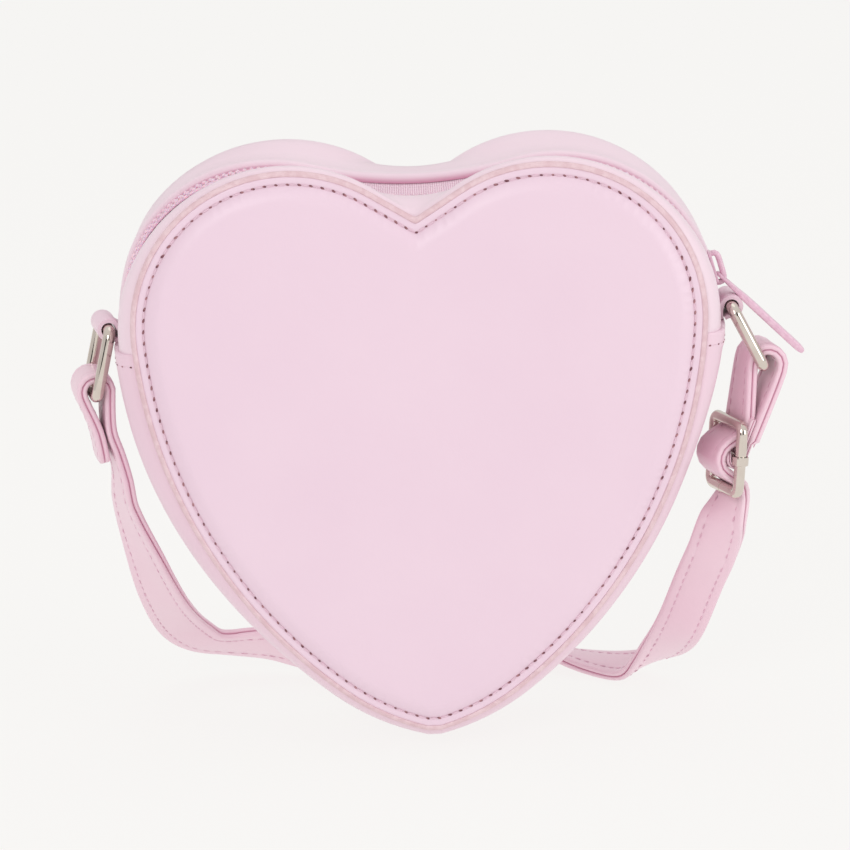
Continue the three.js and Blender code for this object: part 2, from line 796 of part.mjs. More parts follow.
// Down from the left ring and back to the floor behind the bag
function leftFall() {
  return [
    station([-95.6, 4, 77], [-0.42, 0.9, 0]),
    station([-93.3, 13, 58], [-0.65, 0.74, 0]),
    station([-88.6, 30, 37], [-0.82, 0.5, -0.1]),
    station([-82, 52, 20.7], [-0.82, 0.4, -0.4]),
    station([-74.5, 60.3, 14.3], [-0.6, 0.65, -0.5]),
    station([-66, 63.5, 12.4], [-0.3, 0.75, -0.6]),
    station([-54, 62, 12], [-0.1, 0.65, -0.75]),
    station([-41, 60.5, 10], [0, 0.35, -0.93]),
    station([-30, 57, 8.5], [0, 0.1, -0.99]),
  ];
}

// The spare length lies in a double roll: in along one spiral and out along its mirror
function roll() {
  const steps = Math.round(rollTurns * rollStepsPerTurn);
  const start = rad(rollEntry);
  const inward = Array.from({ length: steps + 1 }, (_, i) => {
    const turned = i / rollStepsPerTurn;
    const reach = rollRadius - rollPitch * turned;
    const angle = start + 2 * PI * turned;
    return [reach * cos(angle), reach * sin(angle)];
  });
  const end = start + 2 * PI * steps / rollStepsPerTurn;
  const turnBack = (rollRadius - rollPitch * steps / rollStepsPerTurn) / 2;
  const inner = [1, 2, 3].map((n) => {
    const angle = end + PI * n / 4;
    return [turnBack * (cos(end) + cos(angle)), turnBack * (sin(end) + sin(angle))];
  });
  const half = [...inward, ...inner];
  const whole = [...half, [0, 0], ...half.slice().reverse().map(([x, y]) => [-x, -y])];
  const height = strapWidth / 2 + gap;
  return whole.map(([x, y]) => station([rollX + x, rollY + y, height], [0, 0, -1]));
}

// From the roll along the floor, up past the bag's side and to the buckle
function rightRise() {
  return [
    station([28, 76.5, 8.9], [0.1, 0.4, -0.9]),
    station([36, 68.5, 6.8], [0.35, 0.7, -0.55]),
    station([45, 61.5, 4.2], [0.5, 0.84, -0.18]),
    station([55.4, 55, 3], [0.5, 0.86, 0.08]),
    station([65.5, 47.7, 4], [0.5, 0.84, 0.25]),
    station([72.3, 40.8, 8.5], [0.03, 0.8, 0.6]),
    station([77.3, 33, 15], [-0.7, 0.45, 0.55]),
    station([81.1, 24, 23.5], [-0.95, 0, 0.3]),
    station([87.4, 12, 42.7], [-0.96, -0.05, 0.2]),
    station([91.2, 5.5, 53], [-0.93, 0.25, 0.15]),
    station([93.6, 2, 60.5], [-0.72, 0.68, 0.08]),
  ];
}

// Through the buckle, over the right ring's low bar and back round the buckle's bar
function rightLoop() {
  const out = vector(1, 0, 0).transformDirection(buckle.matrixWorld);
  const width = vector(0, 1, 0).transformDirection(buckle.matrixWorld);
  const up = vector(0, 0, 1).transformDirection(buckle.matrixWorld);
  const toRing = lowBar(rightRingMesh).sub(buckle.position);
  const ringX = toRing.dot(out);
  const ringZ = toRing.dot(up);
  const loopReach = 6.5;
  const loopX = ringX + loopReach - (half + ringWire + gap);
  const wrap = barWire + gap + ply;
  const railReach = buckleWire + gap + half;
  const low = -bucklePitch / 2;
  const path = pastBars([
    { x: 1, z: low - 9.5, reach: 0 },
    { x: 0, z: low, reach: -railReach },
    { x: 0, z: 0, reach: wrap + gap + half },
    { x: 0, z: -low, reach: -railReach },
    { x: loopX, z: ringZ, reach: loopReach },
    { x: 0, z: 0, reach: barWire + gap + ply / 2 + (half - ply / 2) },
    { x: -wrap + 0.4, z: 3, reach: 0 },
  ]);
  const turn = rad(rightRing.yaw);
  const ringWidth = vector(-sin(turn), cos(turn), 0);
  const ringOut = vector(cos(turn), sin(turn), 0).multiplyScalar(cos(rad(buckleLean)))
    .setZ(-sin(rad(buckleLean)));
  const straight = bucklePitch / 2 + 4;
  return path.map(([x, z]) => {
    const share = min(max((z - straight) / (ringZ - 3 - straight), 0), 1);
    const at = buckle.position.clone().addScaledVector(out, x).addScaledVector(up, z);
    const atRing = lowBar(rightRingMesh).addScaledVector(ringOut, x - ringX)
      .addScaledVector(up, z - ringZ);
    return { at: at.lerp(atRing, share), across: width.clone().lerp(ringWidth, share) };
  });
}

const leftEnd = leftLoop();
const rightEnd = rightLoop();
const longRun = [...leftFall(), ...roll(), ...rightRise()];
const route = [...leftEnd, ...longRun, ...rightEnd];
const centreLine = new THREE.CatmullRomCurve3(route.map(({ at }) => at), false, 'centripetal');
const acrossLine = new THREE.CatmullRomCurve3(route.map(({ across }) => across), false, 'catmullrom', 0.5);

// Sections of one ply between two places of the route, in steps of about 9 mm
function plySections(from, to, low, high) {
  const last = route.length - 1;
  const places = [from];
  for (let i = Math.floor(from) + 1; i <= Math.ceil(to); i += 1) {
    const twist = route[i].across.angleTo(route[i - 1].across);
    const steps = max(1, Math.round(route[i].at.distanceTo(route[i - 1].at) / 9), Math.ceil(twist / rad(18)));
    for (let n = 1; n <= steps; n += 1) places.push(min(i - 1 + n / steps, to));
  }
  return places.filter((place, i) => i === 0 || place > places[i - 1]).map((place) => {
    const centre = centreLine.getPoint(place / last);
    const tangent = centreLine.getTangent(place / last);
    const across = acrossLine.getPoint(place / last);
    across.addScaledVector(tangent, -across.dot(tangent)).normalize().multiplyScalar(strapWidth / 2);
    const face = vector(0, 0, 0).crossVectors(tangent, across).normalize();
    const corner = (side, depth) => centre.clone().addScaledVector(across, side)
      .addScaledVector(face, depth);
    const first = low > 0 ? -1 : 1;
    return [corner(first, high), corner(-first, high), corner(-first, low), corner(first, low)];
  });
}

function strapPiece(name, from, to) {
  const plies = { face: [gap / 2, half], backing: [-half, -gap / 2] };
  for (const [side, [low, high]] of Object.entries(plies)) {
    const end = side === 'face' ? to.face : to.backing;
    addMesh(`${name}_${side}`, sweep(plySections(from, end, low, high), false), strapLeather);
  }
}

const leftSplit = leftEnd.length - 1;
const rightSplit = leftEnd.length + longRun.length;
const wrapStart = route.length - 12;
const splitGap = (i) => gap / route[i].at.distanceTo(route[i + 1].at);
strapPiece('strap_left_loop', 0, { face: leftSplit, backing: leftSplit });
const longEnd = rightSplit - splitGap(rightSplit - 1);
strapPiece('strap_long', leftSplit + splitGap(leftSplit), { face: longEnd, backing: longEnd });
strapPiece('strap_right_loop', rightSplit, { face: wrapStart, backing: route.length - 1 });

export default bag;
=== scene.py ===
# Heart-shaped crossbody bag: padded leather panels, a coil zip, nickel rings and a stitched strap.
# Sizes are in millimetres as a maker gives them, and become metres where a mesh is made.
from functools import cache
from math import asin, atan2, ceil, copysign, cos, floor, hypot, pi, radians, sin, sqrt, tan
from types import SimpleNamespace

import bmesh
import bpy
from mathutils import Matrix, Vector, noise


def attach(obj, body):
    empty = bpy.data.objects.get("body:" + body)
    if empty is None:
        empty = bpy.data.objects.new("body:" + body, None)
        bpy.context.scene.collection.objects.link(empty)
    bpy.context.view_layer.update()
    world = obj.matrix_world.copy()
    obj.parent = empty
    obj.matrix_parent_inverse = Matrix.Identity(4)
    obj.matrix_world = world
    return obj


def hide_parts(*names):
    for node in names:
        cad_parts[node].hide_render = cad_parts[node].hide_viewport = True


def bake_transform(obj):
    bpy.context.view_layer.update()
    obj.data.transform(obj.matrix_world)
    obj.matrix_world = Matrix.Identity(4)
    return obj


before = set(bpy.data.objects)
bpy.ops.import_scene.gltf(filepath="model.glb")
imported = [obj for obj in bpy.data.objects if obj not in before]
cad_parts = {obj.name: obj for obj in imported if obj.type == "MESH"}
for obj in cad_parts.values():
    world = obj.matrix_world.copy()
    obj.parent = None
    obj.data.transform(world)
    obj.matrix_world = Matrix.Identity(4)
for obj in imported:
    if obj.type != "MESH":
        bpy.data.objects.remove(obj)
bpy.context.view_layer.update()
MM = 0.001


def added(name, data):
    made = bpy.data.objects.new(name, data)
    bpy.context.scene.collection.objects.link(made)
    return made


# Camera
VIEW_POINT = Vector((0, -0.0275, 0.10543))
VIEW_DISTANCE = 1.5
VIEW_ELEVATION = radians(13.5)
VIEW_ROLL = radians(2.175)
LENS, SENSOR = 203.9, 36
LENS_SHIFT = 0.0021, 0.0035


def place_camera():
    data = bpy.data.cameras.new("camera")
    data.lens, data.sensor_width = LENS, SENSOR
    data.shift_x, data.shift_y = LENS_SHIFT
    data.clip_start, data.clip_end = 0.1, 40
    camera = added("camera", data)
    ahead = Vector((0, cos(VIEW_ELEVATION), -sin(VIEW_ELEVATION)))
    up = Vector((0, sin(VIEW_ELEVATION), cos(VIEW_ELEVATION)))
    right = Vector((1, 0, 0))
    across = right * cos(VIEW_ROLL) - up * sin(VIEW_ROLL)
    upright = up * cos(VIEW_ROLL) + right * sin(VIEW_ROLL)
    held = Matrix((across, upright, -ahead)).transposed().to_4x4()
    held.translation = VIEW_POINT - ahead * VIEW_DISTANCE
    camera.matrix_world = held
    bpy.context.scene.camera = camera


place_camera()

# Heart outline at the row of stitches, and how it changes towards the middle of the depth
LOBE_X, LOBE_RADIUS, CLEFT_SLOPE = 40, 45.6, radians(32)
SIDE_START, SIDE_RADIUS = radians(4), 156
TIP_START, TIP_RADIUS, TIP_ROUND, TIP_FLAT = radians(52), 70, 6, 4
PANEL_MARGIN, PANEL_CLEFT_ROUND = 3, 1.5
DEPTH, LOBE_Z = 55, 138.4327
MIDDLE_SHIFT_X, MIDDLE_SHIFT_Z, MIDDLE_GROW, MIDDLE_CLEFT_ROUND = 4, -3.5, 0.9, 125
JUNCTION_Z, LAP_Z = -6.6, -12.6


def cleft(x, z, radius, spread):
    """The dip between the lobes: two slopes with a small rounding, or one wide arc in mid-depth."""
    rounding = PANEL_CLEFT_ROUND + (MIDDLE_CLEFT_ROUND - PANEL_CLEFT_ROUND) * spread ** 1.4
    line_end = x - radius * sin(CLEFT_SLOPE)
    if rounding * sin(CLEFT_SLOPE) < line_end:
        vertex = z + radius * cos(CLEFT_SLOPE) - line_end * tan(CLEFT_SLOPE)
        centre = vertex + rounding / cos(CLEFT_SLOPE)

        def height(at):
            if at < rounding * sin(CLEFT_SLOPE):
                return centre - sqrt(rounding ** 2 - at ** 2)
            return vertex + at * tan(CLEFT_SLOPE)

        return SimpleNamespace(end=line_end, turn=pi / 2 + CLEFT_SLOPE, height=height)
    centre = z + sqrt((radius + rounding) ** 2 - x ** 2)
    return SimpleNamespace(end=x * rounding / (radius + rounding), turn=atan2(centre - z, -x),
                           height=lambda at: centre - sqrt(rounding ** 2 - at ** 2))


@cache
def heart(spread, grow):
    """The arcs of an outline, each with its centre and radius: spread is 0 at a panel and 1 in the middle."""
    offset = PANEL_MARGIN + spread * MIDDLE_GROW + grow
    x, z = LOBE_X + spread * MIDDLE_SHIFT_X, spread * MIDDLE_SHIFT_Z
    radius = LOBE_RADIUS + offset
    side_x = x - (SIDE_RADIUS - LOBE_RADIUS) * cos(SIDE_START)
    side_z = z + (SIDE_RADIUS - LOBE_RADIUS) * sin(SIDE_START)
    tip_x = side_x + (SIDE_RADIUS - TIP_RADIUS) * cos(TIP_START)
    tip_z = side_z - (SIDE_RADIUS - TIP_RADIUS) * sin(TIP_START)
    rounding = max(TIP_ROUND + offset, 2 * TIP_FLAT)
    round_z = tip_z - sqrt((TIP_RADIUS + offset - rounding) ** 2 - tip_x ** 2)
    return SimpleNamespace(lobe=(x, z, radius), side=(side_x, side_z, SIDE_RADIUS + offset),
                           tip=(tip_x, tip_z, TIP_RADIUS + offset), rounding=(0, round_z, rounding),
                           tip_turn=atan2(round_z - tip_z, -tip_x), cleft=cleft(x, z, radius, spread))


def outline(h, along):
    """A point of the right half: the cleft ends at 1, lobe 2, lap 3 to 4, side 5, tip arc 6, rounding 7."""
    stretch = min(floor(along), 6)
    part = along - stretch

    def on_arc(arc, turn):
        return arc[0] + arc[2] * cos(turn), arc[1] + arc[2] * sin(turn)

    def at_height(z):
        turn = asin((z - h.lobe[1]) / h.lobe[2])
        if turn > -SIDE_START:
            return on_arc(h.lobe, turn)
        return on_arc(h.side, asin((z - h.side[1]) / h.side[2]))

    if stretch == 0:
        x = h.cleft.end * part ** 1.5
        return x, h.cleft.height(x)
    if stretch == 1:
        return on_arc(h.lobe, h.cleft.turn * (1 - part))
    if stretch == 2:
        return at_height(h.lobe[1] + (JUNCTION_Z - h.lobe[1]) * part)
    if stretch == 3:
        return at_height(JUNCTION_Z + (LAP_Z - JUNCTION_Z) * part)
    if stretch == 4:
        first = min(asin((LAP_Z - h.side[1]) / h.side[2]), -SIDE_START)
        return on_arc(h.side, first + (-TIP_START - first) * part)
    if stretch == 5:
        return on_arc(h.tip, -TIP_START + (h.tip_turn + TIP_START) * part)
    flat = -pi / 2 + asin(min(TIP_FLAT / 2 / h.rounding[2], 0.92 * cos(h.tip_turn)))
    return on_arc(h.rounding, h.tip_turn + (flat - h.tip_turn) * part)


def spot(depth, spread, grow, along, side, back=False):
    """A point of the bag: how deep behind a panel's face, on which outline and how far along it."""
    x, z = outline(heart(spread, grow), along)
    y = DEPTH / 2 - depth
    return Vector((side * x, y if back else -y, LOBE_Z + z)) * MM


# Steps in each stretch of the outline
COUNTS = [10, 34, 3, 4, 28, 8, 8]


def stations(first, last):
    """Places between two along the outline, closer together where it bends."""
    listed = []
    for stretch in range(floor(first), ceil(last)):
        low, high = max(first, stretch), min(last, stretch + 1)
        steps = max(1, round(COUNTS[stretch] * (high - low)))
        listed += [low + (high - low) * i / steps for i in range(steps)]
    return listed + [last]


def over_top(last, extra=()):
    """Places with their sides, from one on the left over the cleft to the same one on the right."""
    half = stations(0, last) + list(extra)
    return [(a, -1) for a in reversed(half) if a > 0] + [(a, 1) for a in half]


LOOP = over_top(7)


def unit(value):
    return min(max(value, 0), 1)


def eased(value, low, high):
    share = unit((value - low) / (high - low))
    return share * share * (3 - 2 * share)


# Shader maths
class Value:
    """What a node gives, to do maths with."""

    def __init__(self, paint, socket):
        self.paint, self.socket = paint, socket

    def maths(self, operation, *others):
        return self.paint.node("ShaderNodeMath", dict(enumerate((self, *others))), operation=operation)

    def __add__(self, other):
        return self.maths("ADD", other)

    def __mul__(self, other):
        return self.maths("MULTIPLY", other)

    def __sub__(self, other):
        return self.maths("SUBTRACT", other)

    def __rsub__(self, other):
        return self.paint.node("ShaderNodeMath", {0: other, 1: self}, operation="SUBTRACT")

    def __abs__(self):
        return self.maths("ABSOLUTE")

    def wave(self):
        return self.maths("SINE")


class Paint:
    """A tree of shader nodes, and short forms for the nodes drawn in it."""

    def __init__(self, name, owner=None, **surface):
        self.owner = owner or bpy.data.materials.new(name)
        self.owner.use_nodes = True
        self.tree = self.owner.node_tree
        if not owner:
            self.base = next(n for n in self.tree.nodes if n.type == "BSDF_PRINCIPLED")
            for key, value in surface.items():
                self.set(key.replace("_", " ").title().replace("Ior", "IOR"), value)

    def set(self, key, value):
        self.join(value, self.base.inputs[key])

    def join(self, value, socket):
        if isinstance(value, Value):
            self.tree.links.new(value.socket, socket)
        else:
            socket.default_value = value

    def node(self, kind, inputs=None, out=0, **settings):
        made = self.tree.nodes.new(kind)
        for key, value in settings.items():
            setattr(made, key, value)
        for key, value in (inputs or {}).items():
            self.join(value, made.inputs[key])
        return Value(self, made.outputs[out])

    def place(self):
        return self.node("ShaderNodeTexCoord", out="Object")

    def cloud(self, scale, detail=2.0, rough=0.5, where=None):
        inputs = {"Vector": where or self.place(), "Scale": scale, "Detail": detail, "Roughness": rough}
        return self.node("ShaderNodeTexNoise", inputs)

    def cells(self, scale):
        return self.node("ShaderNodeTexVoronoi", {"Vector": self.place(), "Scale": scale})

    def bands(self, direction, scale, distortion=0.0):
        inputs = {"Vector": self.place(), "Scale": scale, "Distortion": distortion}
        return self.node("ShaderNodeTexWave", inputs, bands_direction=direction)

    def mix(self, share, first, second):
        """A mix node's sockets for colours share their names with others, so they go by number."""
        return self.node("ShaderNodeMix", {0: share, 6: first, 7: second}, out=2, data_type="RGBA")

    def ease(self, value, low, high):
        inputs = {"Value": value, "From Min": low, "From Max": high}
        return self.node("ShaderNodeMapRange", inputs, interpolation_type="SMOOTHSTEP")

    def bump(self, height, depth, strength=1.0, after=None):
        inputs = {"Height": height, "Distance": depth, "Strength": strength}
        if after:
            inputs["Normal"] = after
        return self.node("ShaderNodeBump", inputs)

    def across(self):
        """The two UV coordinates."""
        first = self.node("ShaderNodeSeparateXYZ", {0: self.node("ShaderNodeUVMap", uv_map="UVMap")})
        return first, Value(self, first.socket.node.outputs[1])

    def finish(self, share, deep, plain, relief, depth, strength):
        """Sets a colour between two tones and a relief, and gives the material."""
        self.set("Base Color", self.mix(share, tone(deep), tone(plain)))
        self.set("Normal", self.bump(relief, depth, strength))
        return self.owner


def tone(code):
    """A colour of the screen, as the linear values that shaders take."""
    parts = [int(code[i:i + 2], 16) / 255 for i in (1, 3, 5)]
    return (*[c / 12.92 if c < 0.04045 else ((c + 0.055) / 1.055) ** 2.4 for c in parts], 1)


STITCH_PITCH = 3.6
STITCH_INSIDE, PUCKER_INSIDE = 3.0, 3.9


def leather(name, plain, deep, roughness, puckered_and_channel_shaded=False, with_painted_shade=False):
    """Satin coated leather: a fine grain, softer undulation and slight clouds in its colour."""
    paint = Paint(name, coat_weight=0.12, coat_roughness=0.35, sheen_weight=0.06)
    grain = paint.cells(1500) * 0.6 + paint.cloud(2600, 3) * 0.4
    swell = paint.cloud(75, 2)
    normal = paint.bump(grain, 0.00005, 0.35)
    normal = paint.bump(swell, 0.0009, 0.35, normal)
    colour = paint.mix(paint.ease(paint.cloud(22, 3), 0.25, 0.75), tone(plain), tone(deep))
    if puckered_and_channel_shaded:
        inside, along = paint.across()
        near = 1 - paint.ease(abs(inside - PUCKER_INSIDE), 0.25, 3.4)
        ribs = (along * (2 * pi / STITCH_PITCH) + paint.cloud(160, 1) * 5).wave()
        patches = paint.ease(paint.cloud(60, 1), 0.3, 0.7)
        normal = paint.bump(ribs * near * patches, 0.00012, 0.8, normal)
        # Painted shade in the stitch channel: along the row of stitches the colour darkens towards a deeper
        # pink.
        channel_shade = 1 - paint.ease(abs(inside - STITCH_INSIDE), 0.0, 0.75)
        colour = paint.mix(channel_shade * 0.35, colour, tone("#dcaebf"))
    if with_painted_shade:
        # Painted shade: a per-point mesh attribute darkens the colour towards deep pink, under the zip
        # strips' folds and in the groove where the strap's plies meet.
        painted_shade = paint.node("ShaderNodeAttribute", out="Fac", attribute_name="painted_shade")
        colour = paint.mix(painted_shade * 0.9, colour, tone("#cf87a6"))
    paint.set("Base Color", colour)
    paint.set("Roughness", grain * 0.08 + swell * 0.06 + (roughness - 0.07))
    paint.set("Normal", normal)
    return paint.owner


def edge_paint():
    """Painted raw edge, a little uneven where the brush stopped."""
    paint = Paint("painted_edge", roughness=0.5, coat_weight=0.15, coat_roughness=0.4)
    drips = paint.cloud(420, 3)
    return paint.finish(paint.ease(drips, 0.35, 0.7), "#dcbac1", "#e6c9cf", drips, 0.00025, 0.6)


def thread_paint(name, plain, deep):
    """Two-strand thread: its twist shows as slanted ridges, and painted shade darkens the grooves between
    them.
    """
    paint = Paint(name, roughness=0.5, sheen_weight=0.3)
    twist_relief_and_shade = paint.bands("DIAGONAL", 1500.0, 1.0)
    return paint.finish(twist_relief_and_shade, deep, plain, twist_relief_and_shade, 0.00012, 0.6)


def hole_paint():
    """Shade and dark glue down in the needle's holes."""
    paint = Paint("needle_hole", roughness=0.7)
    glue = paint.ease(paint.cloud(700, 2), 0.35, 0.7)
    return paint.finish(glue, "#6e3c48", "#b48288", paint.cloud(3000, 2), 0.0001, 0.5)


def tape_cloth():
    """Woven tape: ribs along the zip crossed by finer picks."""
    paint = Paint("zip_tape_weave", roughness=0.85, sheen_weight=0.25)
    along, over = paint.across()
    picks = (along * (2 * pi / 0.72)).wave()
    ribs = (over * (2 * pi / 0.9)).wave()
    weave = picks * ribs * 0.5 + 0.5
    # Painted shade: the colour darkens in the hollows between the picks, where the relief is low too.
    gap_relief_and_shade = paint.ease(picks, -1.0, 0.1)
    colour = paint.mix(gap_relief_and_shade, tone("#edc3d7"), tone("#fce4ef"))
    paint.set("Base Color", paint.mix(paint.cloud(300, 2) * 0.35, colour, tone("#f2d8e4")))
    paint.set("Normal", paint.bump(weave + gap_relief_and_shade, 0.0002, 0.8))
    return paint.owner


def coil_nylon():
    paint = Paint("coil_nylon", roughness=0.36, subsurface_weight=0.15, subsurface_scale=0.002)
    streaks = paint.cloud(900, 2)
    return paint.finish(paint.ease(streaks, 0.3, 0.7), "#ecc3d6", "#f3d4e2", streaks, 0.0001, 0.4)


def enamel():
    """Pink paint baked on zinc: smooth, with a faint orange peel."""
    paint = Paint("pink_enamel", coat_weight=0.5, coat_roughness=0.12)
    peel = paint.cloud(900, 2)
    paint.set("Roughness", peel * 0.1 + 0.27)
    return paint.finish(paint.ease(peel, 0.3, 0.7), "#e0b4c9", "#e8c3d4", peel, 0.00006, 0.4)


def nickel():
    """Polished nickel plate with hairline polishing marks."""
    paint = Paint("polished_nickel", metallic=1.0)
    stretched = paint.node("ShaderNodeMapping", {"Vector": paint.place(), "Scale": (1, 1, 0.12)})
    hair = paint.cloud(2500, 3, where=stretched)
    cloudy = paint.cloud(200, 2)
    paint.set("Roughness", paint.ease(cloudy, 0.35, 0.8) * 0.06 + hair * 0.03 + 0.045)
    return paint.finish(cloudy, "#cfc3b8", "#e4dbd2", hair, 0.00002, 0.25)


def woven_lining():
    paint = Paint("woven_lining", roughness=0.9, sheen_weight=0.2)
    warp, weft = paint.bands("X", 700.0), paint.bands("Z", 700.0)
    # Painted shade: the colour darkens where either thread dips.
    return paint.finish(warp * weft, "#dcb6c6", "#e8cdd8", warp + weft, 0.0001, 0.6)


def open_foam():
    paint = Paint("open_foam", roughness=0.95)
    pore_relief_and_shade = paint.cells(900)
    # Painted shade: darker down in the pores, which the relief sinks.
    return paint.finish(paint.ease(pore_relief_and_shade, 0.1, 0.6), "#cfc8c0", "#f1eeea", pore_relief_and_shade, 0.0004, 0.8)


def grey_board():
    paint = Paint("grey_board", roughness=0.9)
    fibres = paint.cloud(600, 4, 0.7)
    return paint.finish(fibres, "#b5a894", "#d6cbbc", fibres, 0.00015, 0.5)


# The panels, bottom gusset and zip strips are one leather; the bottom gusset's copy, also on the tabs, is a
# little darker than the strips': painted shade for the gusset's underside.
panel_leather = leather("panel_leather", "#ebd1df", "#e9cedd", 0.42, puckered_and_channel_shaded=True)
gusset_leather = leather("gusset_leather", "#eccfdc", "#e9cad8", 0.40)
strip_leather = leather("strip_leather", "#efd9e3", "#edd5e0", 0.38, with_painted_shade=True)
strap_leather = leather("strap_leather", "#f0d3de", "#eecbd9", 0.40, with_painted_shade=True)
painted_edge = edge_paint()
panel_thread = thread_paint("panel_thread", "#f3dbe6", "#e2b7ca")
strap_thread = thread_paint("strap_thread", "#eec6d6", "#dba5bd")
needle_hole = hole_paint()
tape_weave = tape_cloth()
coil = coil_nylon()
pink_enamel = enamel()
polished_nickel = nickel()
lining, foam, board = woven_lining(), open_foam(), grey_board()


# Meshes
def loft(sections, closed=False, sizes=None, painted_shade=None):
    """Draws the first section, extrudes its edges and moves them to each next one; the ends are capped."""
    bm = bmesh.new()
    count = len(sections[0])
    # An optional share of painted shade for each point of a section, kept as a mesh attribute for the
    # leather.
    layer = bm.verts.layers.float.new("painted_shade") if painted_shade else None
    drawn = bm.loops.layers.uv.new("UVMap") if sizes else None
    rings = [[bm.verts.new(p) for p in sections[0]]]
    edges = [bm.edges.new((rings[0][j], rings[0][(j + 1) % count])) for j in range(count)]
    for section in sections[1:] + ([sections[0]] if closed else []):
        made = bmesh.ops.extrude_edge_only(bm, edges=edges)["geom"]
        fresh = {v for v in made if isinstance(v, bmesh.types.BMVert)}
        ring = [next(e.other_vert(v) for e in v.link_edges if e.other_vert(v) in fresh) for v in rings[-1]]
        for v, p in zip(ring, section):
            v.co = p
        edges = [bm.edges.get((ring[j], ring[(j + 1) % count])) for j in range(count)]
        rings.append(ring)
    if sizes:
        draw_uv(bm, drawn, rings, *sizes)
    if painted_shade:
        for ring in rings:
            for v, share in zip(ring, painted_shade):
                v[layer] = share
    if closed:
        bmesh.ops.remove_doubles(bm, verts=rings[0] + rings[-1], dist=1e-7)
    else:
        bmesh.ops.holes_fill(bm, edges=[e for e in bm.edges if e.is_boundary], sides=0)
    return bm


def draw_uv(bm, layer, rings, along, around):
    """A UV map in millimetres. Around has one place more than the section, for its first point again."""
    where = {v: (i, j) for i, ring in enumerate(rings) for j, v in enumerate(ring)}
    last = len(rings[0]) - 1
    for face in bm.faces:
        wraps = {0, last} <= {where[v][1] for v in face.verts}
        for corner in face.loops:
            i, j = where[corner.vert]
            corner[layer].uv = (along[i], around[last + 1 if wraps and j == 0 else j])


def joined(bm, other):
    """Adds another mesh's geometry to this one."""
    mesh = bpy.data.meshes.new("joined")
    other.to_mesh(mesh)
    other.free()
    bm.from_mesh(mesh)
    bpy.data.meshes.remove(mesh)


BEADS_AT_ONCE = 24


def beads(bm, listed, sides=6, rings=4):
    """Rounded beads, such as stitches. Each has a place, three directions, half sizes and a material."""
    for start in range(0, len(listed), BEADS_AT_ONCE):
        lot = bmesh.new()
        for at, run, wide, high, size, material in listed[start:start + BEADS_AT_ONCE]:
            columns = Matrix((wide * size[1] * MM, high * size[2] * MM, run * size[0] * MM))
            basis = columns.transposed().to_4x4()
            basis.translation = at
            made = bmesh.ops.create_uvsphere(lot, u_segments=sides, v_segments=rings, radius=1, matrix=basis)
            for face in {f for v in made["verts"] for f in v.link_faces}:
                face.material_index = material
        joined(bm, lot)


def circle(count):
    return [2 * pi * k / count for k in range(count)]


def neighbours(points, i, closed=False):
    """The points before and after one; an end of an open line is its own neighbour."""
    if closed:
        return points[i - 1], points[(i + 1) % len(points)]
    return points[max(i - 1, 0)], points[min(i + 1, len(points) - 1)]


def wire(path, radius, guide, sides, closed=False):
    """Round wire along a line of points; the guide is the direction that its section starts from."""
    sections = []
    for i, at in enumerate(path):
        before, after = neighbours(path, i, closed)
        run = (after - before).normalized()
        side = (guide - run * guide.dot(run)).normalized()
        up = run.cross(side)
        sections.append([at + (side * cos(t) + up * sin(t)) * (radius * MM) for t in circle(sides)])
    return loft(sections, closed=closed)


def piece(name, bm, *materials, sharp=50, body="bag", slot=None, replaces=()):
    """Makes a mesh an object of one body; edges that turn by more than the sharp angle stay sharp."""
    bmesh.ops.recalc_face_normals(bm, faces=bm.faces)
    for edge in bm.edges:
        if len(edge.link_faces) == 2 and edge.calc_face_angle(0) > radians(sharp):
            edge.smooth = False
    for face in bm.faces:
        face.smooth = True
    mesh = bpy.data.meshes.new(name)
    bm.to_mesh(mesh)
    bm.free()
    for material in materials:
        mesh.materials.append(material)
    made = added(name, mesh)
    if body:
        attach(made, body)
    if replaces:
        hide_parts(*replaces)
    return made


def remade(node, word, bm, material, slot, **how):
    """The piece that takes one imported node's place, and is named after it."""
    return piece(f"{node}_{word}", bm, material, slot=slot, replaces=[node], **how)


def running(points):
    """Distance along a line of points, in millimetres."""
    listed = [0.0]
    for first, second in zip(points, points[1:]):
        listed.append(listed[-1] + (second - first).length / MM)
    return listed


def even_steps(marks, step, first, last):
    """Even steps between two distances: each one's stretch of the line, and the share of that stretch."""
    count = max(1, round((last - first) / step))
    listed, j = [], 0
    for i in range(count + 1):
        at = first + (last - first) * i / count
        while j < len(marks) - 2 and marks[j + 1] < at:
            j += 1
        listed.append((j, (at - marks[j]) / max(marks[j + 1] - marks[j], 1e-9)))
    return listed


def walk(points, step, first=0.0, short=0.0):
    """Even steps along a line, from a first distance to so far short of its end: the point and the way on."""
    marks = running(points)
    return [(points[j].lerp(points[j + 1], share), (points[j + 1] - points[j]).normalized())
            for j, share in even_steps(marks, step, first, marks[-1] - short)]


# Padded panels
# Each profile lists how far its points lie outside the panel's edge, and how deep behind the panel's face
SKIN = [(-30, -2.3), (-14, -1.5), (-8, -1.05), (-6, -0.55), (-4.6, 0.2), (-3.6, 0.95), (-2.8, 1.05),
        (-0.9, 1.02), (-0.55, 0.8), (-0.5, 0.25), (-0.75, 0.02), (-1.3, -0.05), (-2.1, -0.05),
        (-2.65, 0.02), (-3.0, 0.16), (-3.25, 0.02), (-3.6, -0.4), (-4.2, -0.95), (-5.1, -1.5), (-6.1, -1.98),
        (-7.0, -2.3), (-7.9, -2.46), (-9.4, -2.55), (-12.5, -2.64), (-16, -2.72), (-21, -2.84), (-30, -3.0)]
FOAM = [(-28, 0.95), (-6, 0.95), (-5.1, 0.75), (-5.4, 0.3), (-6.6, -0.3), (-8.6, -0.8), (-11, -1.1),
        (-16, -1.3), (-28, -1.5)]
